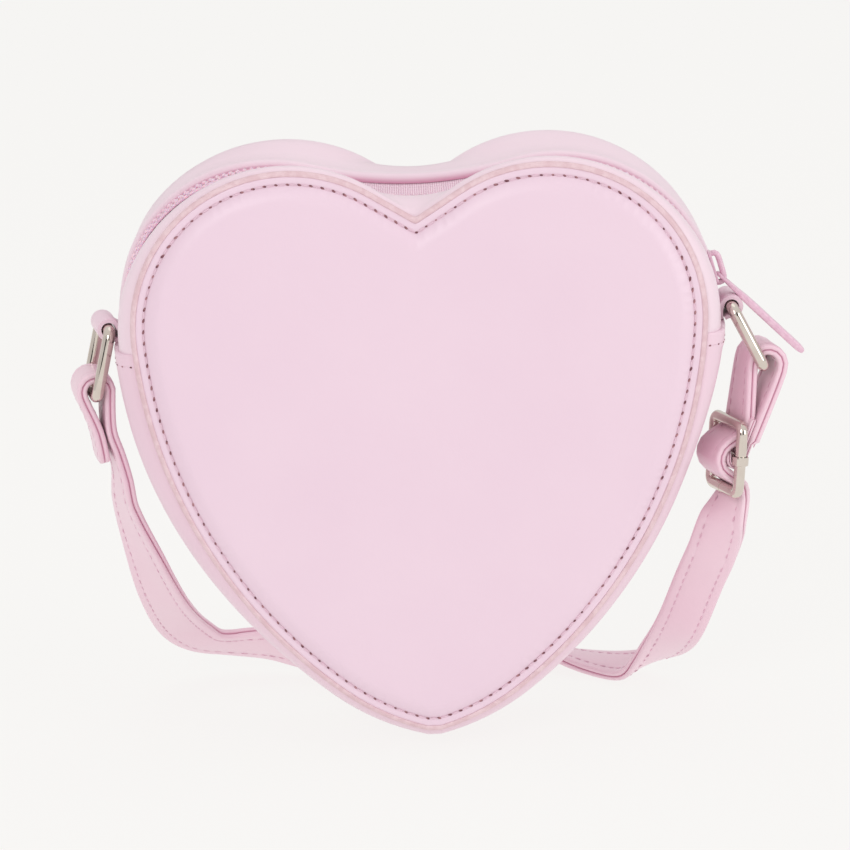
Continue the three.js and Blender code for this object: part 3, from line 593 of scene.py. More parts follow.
EDGE_BEAD = [(-0.62, 0.2), (-0.56, -0.05), (-0.3, -0.16), (0.1, -0.14), (0.55, 0.02), (0.95, 0.38),
             (1.15, 0.9), (1.0, 1.4), (0.5, 1.66), (-0.4, 1.5), (-0.42, 0.9), (-0.4, 0.4)]


def heart_ring(grow, depth, back):
    return [spot(depth, 0, grow, along, side, back) for along, side in LOOP]


def heart_rings(profile, back):
    return [heart_ring(grow, depth, back) for grow, depth in profile]


def panel(end, back):
    stitched = heart_ring(-PANEL_MARGIN, 0, back)
    marks = running(stitched + stitched[:1])
    whole = round(marks[-1] / STITCH_PITCH) * STITCH_PITCH
    sizes = [-grow for grow, _ in SKIN], [mark * whole / marks[-1] for mark in marks]
    bm = loft(heart_rings(SKIN, back), sizes=sizes)
    skin = remade(f"{end}_panel", "skin", bm, panel_leather, "leather", sharp=80)
    pad = remade(f"{end}_foam", "pad", loft(heart_rings(FOAM, back)), foam, "foam")
    bead = loft(heart_rings(EDGE_BEAD, back), closed=True)
    piece(f"{end}_painted_edge", bead, painted_edge, slot="leather", sharp=80)
    panel_stitches(end, stitched, back)


HOLE_LIFT, THREAD_LIFT = 0.03, 0.06
PANEL_THREAD, LAP_HOLE, LAP_THREAD = (1.22, 0.3, 0.26), (0.45, 0.3, 0.2), (1.2, 0.3, 0.26)


def panel_stitches(end, stitched, back):
    """One row of thread between needle holes, slanted a little as a walking foot leaves them."""
    outward = Vector((0, 1 if back else -1, 0))
    lift = outward * MM
    rows, listed = walk(stitched + stitched[:1], STITCH_PITCH), []
    for (at, run), (onward, _) in zip(rows, rows[1:]):
        beside = run.cross(outward)
        wobble = noise.noise(at * 90)
        slant = (run + beside * (0.28 + 0.2 * wobble)).normalized()
        hole_size = 0.62 + 0.35 * wobble, 0.38 + 0.12 * wobble, 0.2
        listed.append((at + lift * HOLE_LIFT, slant, slant.cross(outward), outward, hole_size, 1))
        middle = (at + onward) / 2 + lift * THREAD_LIFT
        run = (onward - at).normalized()
        listed.append((middle, run, run.cross(outward), outward, PANEL_THREAD, 0))
    bm = bmesh.new()
    beads(bm, listed)
    piece(f"{end}_stitches", bm, panel_thread, needle_hole, slot="leather")


panel("front", False)
panel("back", True)

# Gusset: a section's points go from the flange under a panel over the bend. Each has its depth, its spread,
# which is 0 at a panel and 1 in the middle, and how far it lies outside that outline.
BEND = [(1.3, 0, -5), (1.3, 0, -0.8), (1.6, 0.03, 0.58), (2.1, 0.07, 1.45), (2.8, 0.14, 2.15),
        (4.0, 0.26, 2.7), (5.4, 0.38, 2.9), (7.2, 0.52, 2.78), (9.4, 0.68, 2.15), (12.2, 0.84, 1.15),
        (14.2, 0.93, 0.5)]
GUSSET_LEATHER, LAP_STEP, LINING = 1.2, 1.5, 0.3
LINING_FACES = GUSSET_LEATHER + 0.02, GUSSET_LEATHER + 0.02 + LINING
LAP_SEAM, LAP_STITCH = 3.66, 3.4
ZIP_Y = -4


def outward_of(place):
    return place[1] * (MIDDLE_SHIFT_X + MIDDLE_GROW) + place[2]


def inset(line, distance):
    """The section's line, moved so far into the bag."""
    moved = []
    for i, (depth, spread, grow) in enumerate(line):
        before, after = neighbours(line, i)
        run, rise = after[0] - before[0], outward_of(after) - outward_of(before)
        length = hypot(run, rise)
        moved.append((depth + rise / length * distance, spread, grow - run / length * distance))
    return moved


FLATTER, FULLEST, TIP_REACH = 2.8, 6.07, 4.4


def flattened(line, along, side):
    """The soft gusset lies flatter down the sides and at the tip, whose middle still reaches the floor."""
    least = FLATTER * (eased(along, 3.9, 4.35) if side > 0 else eased(along, 4.15, 4.95))
    spared = 0.45 + 0.55 * eased(along, 5, 6)
    return [(depth, spread, grow - least * unit((grow + TIP_REACH * spread) / FULLEST)
             * (1 - spared * eased(depth, 19, 27.5))) for depth, spread, grow in line]


def bottom_gusset():
    line = [BEND[0]] + [(d, s, g + LAP_STEP) for d, s, g in BEND[1:]]
    line += [(16, 1, 2.5), (20, 1, 2.62), (27.5, 1, 2.7)]

    def both_halves(half, along, side):
        back_half = [spot(*p, along, side, True) for p in half[-2::-1]]
        return [spot(*p, along, side) for p in half] + back_half

    def section(along, side):
        top = flattened(line, along, side)
        worn = max(0.0, 1 - (along - 3) / 0.1) ** 2 * 0.55
        outer = both_halves([(d, s, g - worn) for d, s, g in top], along, side)
        return outer + both_halves(inset(top, GUSSET_LEATHER), along, side)[::-1]

    def lining_section(along, side):
        top = flattened(line, along, side)
        faces = [both_halves(inset(top, depth)[2:], along, side) for depth in LINING_FACES]
        return faces[0] + faces[1][::-1]

    half = [3, 3.03, 3.07, 3.12] + stations(3.25, 7)
    path = [(a, 1) for a in half] + [(a, -1) for a in reversed(half)]
    bm = loft([section(*p) for p in path])
    remade("bottom_gusset", "leather", bm, gusset_leather, "leather", sharp=60)
    bm = loft([lining_section(*p) for p in path])
    remade("bottom_gusset_lining", "cloth", bm, lining, "lining", sharp=60)
    lap_stitches(line)


def lap_stitches(line):
    """A row across each end of the bottom gusset, where it laps over the zip gusset."""
    bm, listed = bmesh.new(), []
    for side in (1, -1):
        ends = [spot(d, s, g + 0.05, LAP_SEAM, side) for d, s, g in line[2:]]
        ends += [spot(d, s, g + 0.05, LAP_SEAM, side, True) for d, s, g in line[:1:-1]]
        rows = walk(ends, LAP_STITCH)
        out = Vector((side, 0, -0.1)).normalized()
        for (at, _), (onward, _) in zip(rows, rows[1:]):
            run = (onward - at).normalized()
            lie = (out - run * out.dot(run)).normalized()
            listed.append((at, run, run.cross(lie), lie, LAP_HOLE, 1))
            listed.append(((at + onward) / 2, run, run.cross(lie), lie, LAP_THREAD, 0))
    beads(bm, listed)
    piece("gusset_stitches", bm, panel_thread, needle_hole, slot="leather")


bottom_gusset()


# Zip gusset: each profile runs from the seam allowance over the bend to the fold beside the zip
FRONT_OVER_LOBE = [*BEND[:2], (1.6, 0.02, 0.58), (2.1, 0.04, 1.35), (2.8, 0.07, 1.95), (4.0, 0.11, 2.35),
                   (5.4, 0.17, 2.45), (7.2, 0.27, 2.3), (9.4, 0.37, 1.85), (11.2, 0.44, 1.3),
                   (12.2, 0.47, 0.75), (12.65, 0.49, 0.1), (12.75, 0.5, -0.95)]
FRONT_DOWN_SIDE = [*BEND[:7], (8.0, 0.58, 2.6), (11.5, 0.8, 1.4), (14.5, 0.95, 0.5), (16.2, 1, 0.15),
                   (16.85, 1, -0.3), (17.0, 1, -1.45)]
BACK_STRIP = [*BEND[:7], (8.0, 0.58, 2.6), (12.0, 0.82, 1.5), (16.0, 0.97, 0.75), (19.0, 1, 0.8),
              (21.2, 1, 1.25), (22.9, 1, 1.5), (24.2, 1, 1.2), (24.95, 1, 0.45), (25.15, 1, -0.5),
              (24.95, 1, -1.45)]
TAPE_WIDTH, TAPE_STEPS, TAPE_THICK, TAPE_GAP = 12.3, 10, 0.8, 0.06
CLEFT_DIP, LEFT_LOBE_RISE = 4.0, 1.8
COIL_PITCH, COIL_SHORT, COIL_LOOP, COIL_ASIDE, COIL_DROP = 2.2, 1.2, (1.46, 0.74, 0.82), 1.32, 0.35
CORD_RADIUS, CORD_ASIDE, CORD_DROP = 0.55, 2.2, 0.75
ACROSS_ZIP = Vector((0, 1, 0))


def fuller(along, side):
    """The gusset over the left lobe stands a little prouder."""
    return LEFT_LOBE_RISE * eased(along, 0.95, 1.5) * (1 - eased(along, 1.62, 1.95)) if side < 0 else 0


def dip(along):
    """The zip hangs lower where it crosses the cleft."""
    return CLEFT_DIP * (1 - eased(along, 0.35, 0.95))


def zip_spot(place, along, side, back):
    depth, spread, grow = place
    share = eased(depth, 1.6, 10) if back else eased(depth, 8, 21)
    return spot(depth, spread, grow + fuller(along, side) * share, along, side, back)


def blended(first, second, share):
    return tuple(u + (v - u) * share for u, v in zip(first, second))


def strip_profile(along, back):
    if back:
        return BACK_STRIP
    share = eased(along, 1.35, 1.95)
    return [blended(p, q, share) for p, q in zip(FRONT_OVER_LOBE, FRONT_DOWN_SIDE)]


def tape_depths(inner):
    return [inner - TAPE_WIDTH * (1 - i / TAPE_STEPS) for i in range(TAPE_STEPS + 1)]


def tape_profile(along, back, inner):
    """The tape follows the strip's underside and then hangs free to the coil."""
    listed = []
    for depth in tape_depths(inner):
        if back:
            listed.append((depth, 1, -LAP_STEP - dip(along) * unit((depth - 24.9) / 5.9)))
            continue
        over = 0.42 + 0.58 * eased(depth, 10.5, 20), -0.95 - 0.55 * eased(depth, 12, 18)
        down = 1 - max(16 - depth, 0) * 0.06, -LAP_STEP + max(16 - depth, 0) * 0.28
        spread, grow = blended(over, down, eased(along, 1.35, 1.95))
        listed.append((depth, spread, grow - dip(along) * eased(depth, 12.75, inner)))
    return listed


def zip_strip(end, back):
    def section(along, side):
        top = strip_profile(along, back)
        faces = []
        for layer in (top, inset(top, GUSSET_LEATHER)):
            lifted = [(d, s, -1.0 if along > 2.92 and i == 0 else g) for i, (d, s, g) in enumerate(layer)]
            faces.append([zip_spot(p, along, side, back) for p in lifted])
        return faces[0] + faces[1][::-1]

    def lining_section(along, side):
        top = strip_profile(along, back)[:-3]
        faces = [[zip_spot(p, along, side, back) for p in inset(top, depth)][2:] for depth in LINING_FACES]
        return faces[0] + faces[1][::-1]

    path = over_top(2, [2.5, 2.9, 2.95, 3.1, 3.6])
    count = len(BACK_STRIP if back else FRONT_OVER_LOBE)
    # Painted shade on the fold's rounded end, deepest where it meets the tape; none on the inner face.
    shaded = [0.0] * (count - 3) + [0.1, 0.55, 1.0] + [0.0] * count
    bm = loft([section(*p) for p in path], painted_shade=shaded)
    remade(f"zip_strip_{end}", "leather", bm, strip_leather, "leather", sharp=60)
    bm = loft([lining_section(*p) for p in path])
    remade(f"zip_strip_lining_{end}", "cloth", bm, lining, "lining", sharp=60)


def zip_tape(end, back):
    way = 1 if back else -1
    inner = DEPTH / 2 - way * (ZIP_Y + way * TAPE_GAP)
    sections = []
    for along, side in over_top(2, [2.5, 3, 3.8]):
        top = tape_profile(along, back, inner)
        under = [(d, s, g - TAPE_THICK) for d, s, g in reversed(top)]
        sections.append([zip_spot(p, along, side, back) for p in top + under])
    width = tape_depths(inner)
    marks = running([s[TAPE_STEPS] for s in sections])
    bm = loft(sections, sizes=(marks, width + width[::-1] + width[:1]))
    remade(f"zip_tape_{end}", "cloth", bm, tape_weave, "zip_tape", sharp=60)


def lobe_place(degrees):
    """The place on the right lobe's middle arc so many degrees up from its end."""
    return 2 - radians(degrees) / heart(1, 0).cleft.turn


COIL_END = lobe_place(7.28)


def coil_line(aside, drop):
    """A line along the zip, so far aside of its middle and below the gusset's outline."""
    return [zip_spot((DEPTH / 2 + ZIP_Y + aside, 1, -drop - dip(along)), along, side, False)
            for along, side in over_top(COIL_END)]


def coil_row(end, back):
    """Nylon coil: each wire loop shows as one bead, and the other side's beads sit between them."""
    way = 1 if back else -1
    bm, listed = bmesh.new(), []
    first = COIL_SHORT + (0.5 * COIL_PITCH if back else 0)
    for at, run in walk(coil_line(way * COIL_ASIDE, COIL_DROP), COIL_PITCH, first, COIL_SHORT):
        leaning, up = (ACROSS_ZIP + run * 0.16 * way).normalized(), run.cross(ACROSS_ZIP)
        listed.append((at, leaning, leaning.cross(up), up, COIL_LOOP, 0))
    beads(bm, listed, 8, 6)
    joined(bm, wire(coil_line(way * CORD_ASIDE, CORD_DROP), CORD_RADIUS, ACROSS_ZIP, 8))
    remade(f"zip_coil_{end}", "beads", bm, coil, "zip_coil")


for zip_end, is_back in (("front", False), ("back", True)):
    zip_strip(zip_end, is_back)
    zip_tape(zip_end, is_back)
    coil_row(zip_end, is_back)


# Wire work
def placed(held, points):
    """Points of a frame in millimetres, as points of the scene."""
    return [held @ Vector(p) * MM for p in points]


def turned(yaw, lean, at=(0, 0, 0)):
    """A frame that leans about its own Y, and then turns about the upright."""
    made = Matrix.Rotation(radians(yaw), 4, "Z") @ Matrix.Rotation(radians(lean), 4, "Y")
    made.translation = at
    return made


def axes(held):
    return [Vector(held.col[i][:3]) for i in range(3)]


def rounded_rectangle(half, low, high, corner, steps):
    """Points round a rectangle with round corners: half its width to each side, and from low to high."""
    listed = []
    for k, side in enumerate((1, -1, -1, 1)):
        y, z = side * (half - corner), high - corner if k < 2 else low + corner
        turns = [radians(90 * k + 90 * i / steps) for i in range(steps + 1)]
        listed += [(y + corner * cos(t), z + corner * sin(t)) for t in turns]
    return listed


def wire_frame(held, half, low, high, corner, radius):
    """Wire bent to a rounded rectangle, whose plane is the frame's Y and Z."""
    path = [(0, y, z) for y, z in rounded_rectangle(half, low, high, corner, 8)]
    return wire(placed(held, path), radius, axes(held)[0], 20, closed=True)


LEFT_HOLE, RIGHT_HOLE = Vector((-98.997, 0, 136.033)), Vector((97.904, 0, 136.033))
LEFT_YAW, RIGHT_YAW, BUCKLE_YAW, BUCKLE_LEAN = 11, 3, 21, 5.9
LEFT_FRAME, RIGHT_FRAME = turned(LEFT_YAW, 14, LEFT_HOLE), turned(RIGHT_YAW, -26, RIGHT_HOLE)
RING_HALF, RING_DROP, RING_CORNER, RING_WIRE = 10.4, 21.5, 2.6, 1.9
LOW_BAR = Vector((0, 0, -RING_DROP))
LEFT_BAR, RIGHT_BAR = LEFT_FRAME @ LOW_BAR, RIGHT_FRAME @ LOW_BAR
BUCKLE_FRAME = turned(BUCKLE_YAW, BUCKLE_LEAN, RIGHT_BAR + Vector((-11.2, 0, -30.3)))
BUCKLE_OUT, _, BUCKLE_UP = axes(BUCKLE_FRAME)
RAIL_Y, RAIL_Z, BUCKLE_CORNER, BUCKLE_WIRE, WELD, BAR_WIRE = 10.3, 10.95, 2.5, 1.8, 1.86, 1.5
COLLAR = [(-1.4, 2.1), (-1.4, 2.45), (-1.25, 2.6), (-0.3, 2.64), (0.6, 2.64), (1.25, 2.6), (1.4, 2.45),
          (1.4, 2.1)]


def rings():
    for name, held in (("left_ring", LEFT_FRAME), ("right_ring", RIGHT_FRAME)):
        bm = wire_frame(held, RING_HALF, -RING_DROP, 0, RING_CORNER, RING_WIRE)
        remade(name, "wire", bm, polished_nickel, "ring_metal", body=name)


def buckle():
    """A welded frame of wire, and the bar that slides along its two sides on collars."""
    bm = wire_frame(BUCKLE_FRAME, RAIL_Y, -RAIL_Z, RAIL_Z, BUCKLE_CORNER, BUCKLE_WIRE)
    weld = placed(BUCKLE_FRAME, [(0, y, -RAIL_Z) for y in (0.6, 0.85, 1.1)])
    joined(bm, wire(weld, WELD, BUCKLE_OUT, 20))
    remade("buckle_frame", "wire", bm, polished_nickel, "ring_metal", body="buckle")
    rod = placed(BUCKLE_FRAME, [(0, y, 0) for y in (-8.3, -4, 0, 4, 8.3)])
    bm = wire(rod, BAR_WIRE, BUCKLE_OUT, 16)
    for y in (-RAIL_Y, RAIL_Y):
        turns = [[(r * cos(t), y + r * sin(t), z) for t in circle(24)] for z, r in COLLAR]
        joined(bm, loft([placed(BUCKLE_FRAME, turn) for turn in turns], closed=True))
    remade("buckle_bar", "collars", bm, polished_nickel, "ring_metal", body="buckle_bar", sharp=40)


rings()
buckle()


# Tabs: a folded loop of leather round each ring's top bar
TAB_FOOT, TAB_REACH, TAB_THICK, TAB_WIDE = 93.8, 2.95, 0.75, 7.7
TAB_SECTION = [(-1, -0.9), (-0.8, -0.99), (0.8, -0.99), (1, -0.9), (1.02, 0), (1, 0.9), (0.8, 0.99),
               (-0.8, 0.99), (-1, 0.9), (-1.02, 0)]


def tab(name, hole, yaw, side):
    """It turns with its ring's yaw where it stands out, and stays square where its foot is sewn."""
    turns = [radians(a) for a in range(168, -91, -12)]
    path = [(0.75, -3.9), (0.75, -2.5), (0.75, -0.9)]
    path += [(abs(hole.x) - TAB_FOOT + TAB_REACH * cos(t), TAB_REACH * sin(t)) for t in turns]
    path += [(2.6, -3.25), (1.9, -3.7)]
    sections = []
    for i, (x, z) in enumerate(path):
        before, after = neighbours(path, i)
        run = Vector((after[0] - before[0], after[1] - before[1])).normalized()
        ring = []
        for depth, share in TAB_SECTION:
            out, up = x - run.y * depth * TAB_THICK, z + run.x * depth * TAB_THICK
            y = share * TAB_WIDE
            swing = unit(out / 1.5) * y * tan(radians(yaw))
            ring.append(Vector((side * (TAB_FOOT + out) - swing, y, hole.z + up)) * MM)
        sections.append(ring)
    remade(name, "leather", loft(sections), gusset_leather, "leather", sharp=60)


tab("left_tab", LEFT_HOLE, LEFT_YAW, -1)
tab("right_tab", RIGHT_HOLE, RIGHT_YAW, 1)

# Slider: its own X points out of the bag and Z runs up along the zip, whose arc it rides on
CLOSED, SLIDER_ARC = radians(15.1), 49.5
SLIDER = Matrix.Rotation(-CLOSED, 4, "Y")
SLIDER.translation = Vector((LOBE_X + MIDDLE_SHIFT_X + SLIDER_ARC * cos(CLOSED), ZIP_Y,
                             LOBE_Z + MIDDLE_SHIFT_Z + SLIDER_ARC * sin(CLOSED)))
PLATE, POST = rounded_rectangle(3.9, -5.2, 5.4, 2.0, 5), rounded_rectangle(0.4, -3, 3, 0.3, 5)
UPPER_PLATE, LOWER_PLATE, POST_SPAN = (0.75, 1.75), (-4.7, -3.7), (-3.9, 1.0)
PLATE_EDGE, POST_EDGE, BRIDGE_WIRE, EYE_WIRE = 0.3, 0.1, 0.95, 0.6
BRIDGE = [(0.9, 4.2), (1.9, 4.5), (2.8, 4.4), (3.45, 3.8), (3.7, 2.9), (3.75, 1.5), (3.75, 0), (3.75, -1.8),
          (3.7, -3.4), (3.4, -4.5), (2.7, -5.0), (1.8, -5.1), (0.9, -4.9)]
PULL_PIN = UPPER_PLATE[1] + 0.95, 0, -3.2
PULL = SLIDER @ Matrix.Translation(PULL_PIN) @ Matrix.Rotation(radians(60.1), 4, "Y")
HALF_EYE = [(3.3, 1.4), (2.1, 1.4), (0.5, 1.4), (-0.6, 1.1), (-1.1, 0.6), (-1.25, 0)]
EYE = HALF_EYE + [(x, -y) for x, y in HALF_EYE[-2::-1]]
PULL_BAR = [(2.4, 1.5, 0.55), (2.8, 1.75, 0.72), (4.5, 1.8, 0.78), (7, 1.85, 0.88), (9, 1.95, 1.02),
            (11, 2.05, 1.14), (14, 2.1, 1.2), (22, 2.1, 1.2), (30, 2.1, 1.2), (33.4, 2.1, 1.18),
            (34.6, 1.95, 1.08), (35.5, 1.55, 0.88), (36, 1.05, 0.6), (36.15, 0.5, 0.3)]


def slab(points, low, high, edge):
    """Rounded slab of the slider: the outline is drawn at each height, a little smaller at its two faces."""
    centre = [sum(p[k] for p in points) / len(points) for k in (0, 1)]
    extent = [max(abs(p[k] - centre[k]) for p in points) for k in (0, 1)]
    soft = 0.3 * edge
    levels = [(low, edge), (low + soft, soft), (low + edge, 0),
              (high - edge, 0), (high - soft, soft), (high, edge)]

    def smaller(point, cut):
        return [c + (p - c) * (1 - cut / e) for p, c, e in zip(point, centre, extent)]

    return loft([placed(SLIDER, [(x, *smaller(p, cut)) for p in points]) for x, cut in levels])


def slider():
    bm = slab(PLATE, *UPPER_PLATE, PLATE_EDGE)
    joined(bm, slab(PLATE, *LOWER_PLATE, PLATE_EDGE))
    joined(bm, slab(POST, *POST_SPAN, POST_EDGE))
    bridge = placed(SLIDER, [(x, 0, z) for x, z in BRIDGE])
    joined(bm, wire(bridge, BRIDGE_WIRE, ACROSS_ZIP, 12))
    remade("zip_slider", "body", bm, pink_enamel, "painted_metal", body="zip_slider", sharp=40)


def pull():
    """The eye goes round the slider's bridge, and the bar is cast on it with a smooth taper."""
    bm = wire(placed(PULL, [(x, y, 0) for x, y in EYE]), EYE_WIRE, axes(PULL)[2], 10)
    around = [(copysign(abs(cos(t)) ** 0.45, cos(t)), copysign(abs(sin(t)) ** 0.6, sin(t)))
              for t in circle(24)]
    joined(bm, loft([placed(PULL, [(x, wide * c, thick * s) for c, s in around])
                     for x, wide, thick in PULL_BAR]))
    remade("zip_pull", "bar", bm, pink_enamel, "painted_metal", body="zip_pull", sharp=40)


slider()
pull()


# Strap route: points along its middle, each with the direction across the strap
def touching(bars):
    """Straight runs and turns past round bars: a bar's reach is positive where it lies to the right."""
    legs = [atan2(b[1] - a[1], b[0] - a[0]) + asin((b[2] - a[2]) / hypot(b[0] - a[0], b[1] - a[1]))
            for a, b in zip(bars, bars[1:])]

    def touch(bar, angle):
        return bar[0] - bar[2] * sin(angle), bar[1] + bar[2] * cos(angle)

    points = [touch(bars[0], legs[0])]
    for i in range(1, len(bars) - 1):
        turn = legs[i] - legs[i - 1]
        if bars[i][2] > 0 and turn > 0:
            turn -= 2 * pi
        if bars[i][2] < 0 and turn < 0:
            turn += 2 * pi
        steps = max(2, round(abs(turn) / radians(22)))
        points += [touch(bars[i], legs[i - 1] + turn * n / steps) for n in range(steps + 1)]
    return points + [touch(bars[-1], legs[-1])]


def left_loop():
    """The end goes up inside, over the ring's low bar, and comes down outside."""
    turn, reach = radians(LEFT_YAW), 4.55
    arc = [(0.2 + reach * cos(t), 1.2 + reach * sin(t)) for t in [radians(195 - 21 * i) for i in range(11)]]
    line = [(2.1, -22.5), (0.3, -12), *arc, (4.4, -12), (6.2, -19), (8, -27.5)]
    twists = [turn] * (len(line) - 3) + [radians(12), radians(14), radians(17)]
    return [((LEFT_BAR.x + x * cos(turn), LEFT_BAR.y + x * sin(turn), LEFT_BAR.z + z), (-sin(t), cos(t), 0))
            for (x, z), t in zip(line, twists)]


LEFT_FALL = [((-95.6, 4, 77), (-0.42, 0.91, 0)), ((-91.2, 13, 58), (-0.7, 0.71, 0)),
             ((-86.4, 30, 37), (-0.88, 0.45, -0.12)), ((-80.8, 52, 20.7), (-0.82, 0.4, -0.4)),
             ((-74.5, 60.3, 14.3), (-0.6, 0.65, -0.5)), ((-66, 63.5, 12.4), (-0.3, 0.75, -0.6)),
             ((-54, 62, 12), (-0.1, 0.65, -0.75)), ((-41, 60.5, 10), (0, 0.35, -0.93)),
             ((-30, 57, 8.5), (0, 0.1, -0.99))]
RIGHT_RISE = [((28, 76.5, 8.9), (0.1, 0.4, -0.9)), ((36, 68.5, 6.8), (0.35, 0.7, -0.55)),
              ((45, 61.5, 4.2), (0.5, 0.84, -0.18)), ((55.4, 55, 3), (0.5, 0.86, 0.08)),
              ((65.5, 47.7, 4), (0.5, 0.84, 0.25)), ((72.3, 40.8, 8.5), (0.86, 0.5, 0.05)),
              ((77.3, 33, 15), (0.97, 0.15, -0.15)), ((81.1, 24, 23.5), (0.95, 0, -0.3)),
              ((87.4, 12, 42.7), (0.96, -0.08, -0.2)), ((91.0, 5.5, 53), (0.95, -0.24, -0.15)),
              ((93.3, 2, 60.5), (0.9, -0.42, -0.1))]
ROLL_RADIUS, ROLL_PITCH, ROLL_START, ROLL_STEPS, ROLL_LAST = 27, 7.9, radians(220), 18, 40
ROLL_Y, ROLL_HEIGHT = 68, 8.3


def roll():
    """The spare length in a double roll on its edge: in along one spiral, out along its mirror."""
    def polar(i):
        return ROLL_RADIUS - ROLL_PITCH * i / ROLL_STEPS, ROLL_START + 2 * pi * i / ROLL_STEPS

    inward = [(radius * cos(turn), radius * sin(turn)) for radius, turn in map(polar, range(ROLL_LAST + 1))]
    radius, end = polar(ROLL_LAST)
    for turn in (end + pi / 4, end + pi / 2, end + 3 * pi / 4):
        inward.append((radius / 2 * (cos(end) + cos(turn)), radius / 2 * (sin(end) + sin(turn))))
    whole = inward + [(0, 0)] + [(-x, -y) for x, y in reversed(inward)]
    return [((x, ROLL_Y + y, ROLL_HEIGHT), (0, 0, -1)) for x, y in whole]


RAIL_PASS, BAR_PASS, RING_PASS = 3.85, 5.45, 4.8


def right_loop():
    """Up through the buckle in front of its bar, over the ring's low bar, and down to turn round the bar."""
    to_ring = RIGHT_BAR - BUCKLE_FRAME.translation
    ring_x, ring_z = to_ring.dot(BUCKLE_OUT), to_ring.dot(BUCKLE_UP)
    bars = [(1, -20.45, 0), (0, -RAIL_Z, -RAIL_PASS), (0, 0, BAR_PASS), (0, RAIL_Z, -RAIL_PASS),
            (ring_x + RING_PASS - 4.2, ring_z, RING_PASS), (0, 0, 3.55), (-3.0, 3, 0)]
    ring_out = axes(turned(RIGHT_YAW, BUCKLE_LEAN))[0]
    route, above = [], RAIL_Z + 4
    for x, z in touching(bars):
        share, below = unit((z - above) / (ring_z - 3 - above)), unit((-RAIL_Z - z) / 9.5)
        at = BUCKLE_FRAME.translation + BUCKLE_OUT * x + BUCKLE_UP * z
        at_ring = RIGHT_BAR + ring_out * (x - ring_x) + BUCKLE_UP * (z - ring_z)
        yaw = radians(BUCKLE_YAW + 12 * sin(pi * min(share * 1.4, 1)) - 9 * share + 30 * below)
        route.append((at.lerp(at_ring, share), (sin(yaw), -cos(yaw), 0)))
    return route


LEFT_END, LONG_RUN, RIGHT_END = left_loop(), LEFT_FALL + roll() + RIGHT_RISE, right_loop()
CENTRES, ACROSSES = [[Vector(row[k]) for row in LEFT_END + LONG_RUN + RIGHT_END] for k in (0, 1)]
ROUTE_END, RIGHT_START = len(CENTRES) - 1, len(LEFT_END) + len(LONG_RUN)


def on_curve(points, place, centripetal):
    """Catmull-Rom through the points; place counts them from the first."""
    i = min(floor(place), len(points) - 2)
    t = place - i
    p1, p2 = points[i], points[i + 1]
    p0 = points[i - 1] if i else p1 * 2 - p2
    p3 = points[i + 2] if i + 2 < len(points) else p2 * 2 - p1
    if centripetal:
        d0, d1, d2 = [max((b - a).length, 1e-4) ** 0.5 for a, b in ((p0, p1), (p1, p2), (p2, p3))]
        t1 = ((p1 - p0) / d0 - (p2 - p0) / (d0 + d1) + (p2 - p1) / d1) * d1
        t2 = ((p2 - p1) / d1 - (p3 - p1) / (d1 + d2) + (p3 - p2) / d2) * d1
    else:
        t1, t2 = (p2 - p0) / 2, (p3 - p1) / 2
    return p1 + t1 * t + (p1 * -3 + p2 * 3 - t1 * 2 - t2) * t ** 2 + (p1 * 2 - p2 * 2 + t1 + t2) * t ** 3


def centre_at(place):
    return on_curve(CENTRES, place, True)


def strap_frame(place):
    """The strap's middle at a place of the route, the way on, across it and out of its face."""
    run = (centre_at(min(place + 0.01, ROUTE_END)) - centre_at(max(place - 0.01, 0))).normalized()
    across = on_curve(ACROSSES, place, False)
    across = (across - run * across.dot(run)).normalized()
    return centre_at(place), run, across, run.cross(across).normalized()


# Section of the strap's two plies: the edge where both are turned in, and the line of stitches on each face
EDGE = [(7.42, 0.03), (7.8, 0.2), (7.98, 0.5), (8.0, 0.95), (7.86, 1.35), (7.5, 1.64), (6.9, 1.75),
        (5.6, 1.75), (5.3, 1.7), (5.0, 1.62), (4.7, 1.7), (4.4, 1.77), (2.2, 1.82), (0, 1.84)]
FACE = EDGE + [(-a, d) for a, d in reversed(EDGE[:-1])]
SECTION = FACE + [(a, -d) for a, d in reversed(FACE)]
# Painted shade in the groove where the two plies meet along each edge, fainter just beside it.
PAINTED_CREASE_SHADE = [1.0 if abs(a) > 7.3 and abs(d) < 0.1 else 0.45 if abs(a) > 7.7 and abs(d) < 0.3 else 0.0
        for a, d in SECTION]
PLY, STRAP_HALF, END_ROUND, EDGE_ROUND = 1.8, 8, 3.5, 0.9
STRAP_STITCH, STRAP_BEAD, ROW_START, ROW_ASIDE, ROW_HEIGHT = 3.4, (1.18, 0.3, 0.2), 1.5, 5, 1.68
NEAR_END = [0.02, 0.06, 0.12, 0.2, 0.3, 0.42]


def strap_places(first, last, step):
    listed = [first]
    for i in range(floor(first) + 1, ceil(last) + 1):
        twist_relief_and_shade = ACROSSES[i].angle(ACROSSES[i - 1])
        steps = max(1, ceil((CENTRES[i] - CENTRES[i - 1]).length / step), ceil(twist_relief_and_shade / radians(6)))
        between = [i - 1 + n / steps for n in range(1, steps + 1)]
        listed += [min(p, last) for p in between if p > listed[-1] + 1e-6]
    return sorted(set(listed))


def rounded_end(near):
    """What is left of the strap's thickness and width near its cut end, whose corners are round."""
    thin = 1 if near > EDGE_ROUND else 0.55 + 0.45 * sqrt(max(0.0, 1 - (1 - near / EDGE_ROUND) ** 2))
    if near > END_ROUND:
        return thin, 1
    return thin, 1 - (END_ROUND - sqrt(max(0.0, END_ROUND ** 2 - (END_ROUND - near) ** 2))) / STRAP_HALF


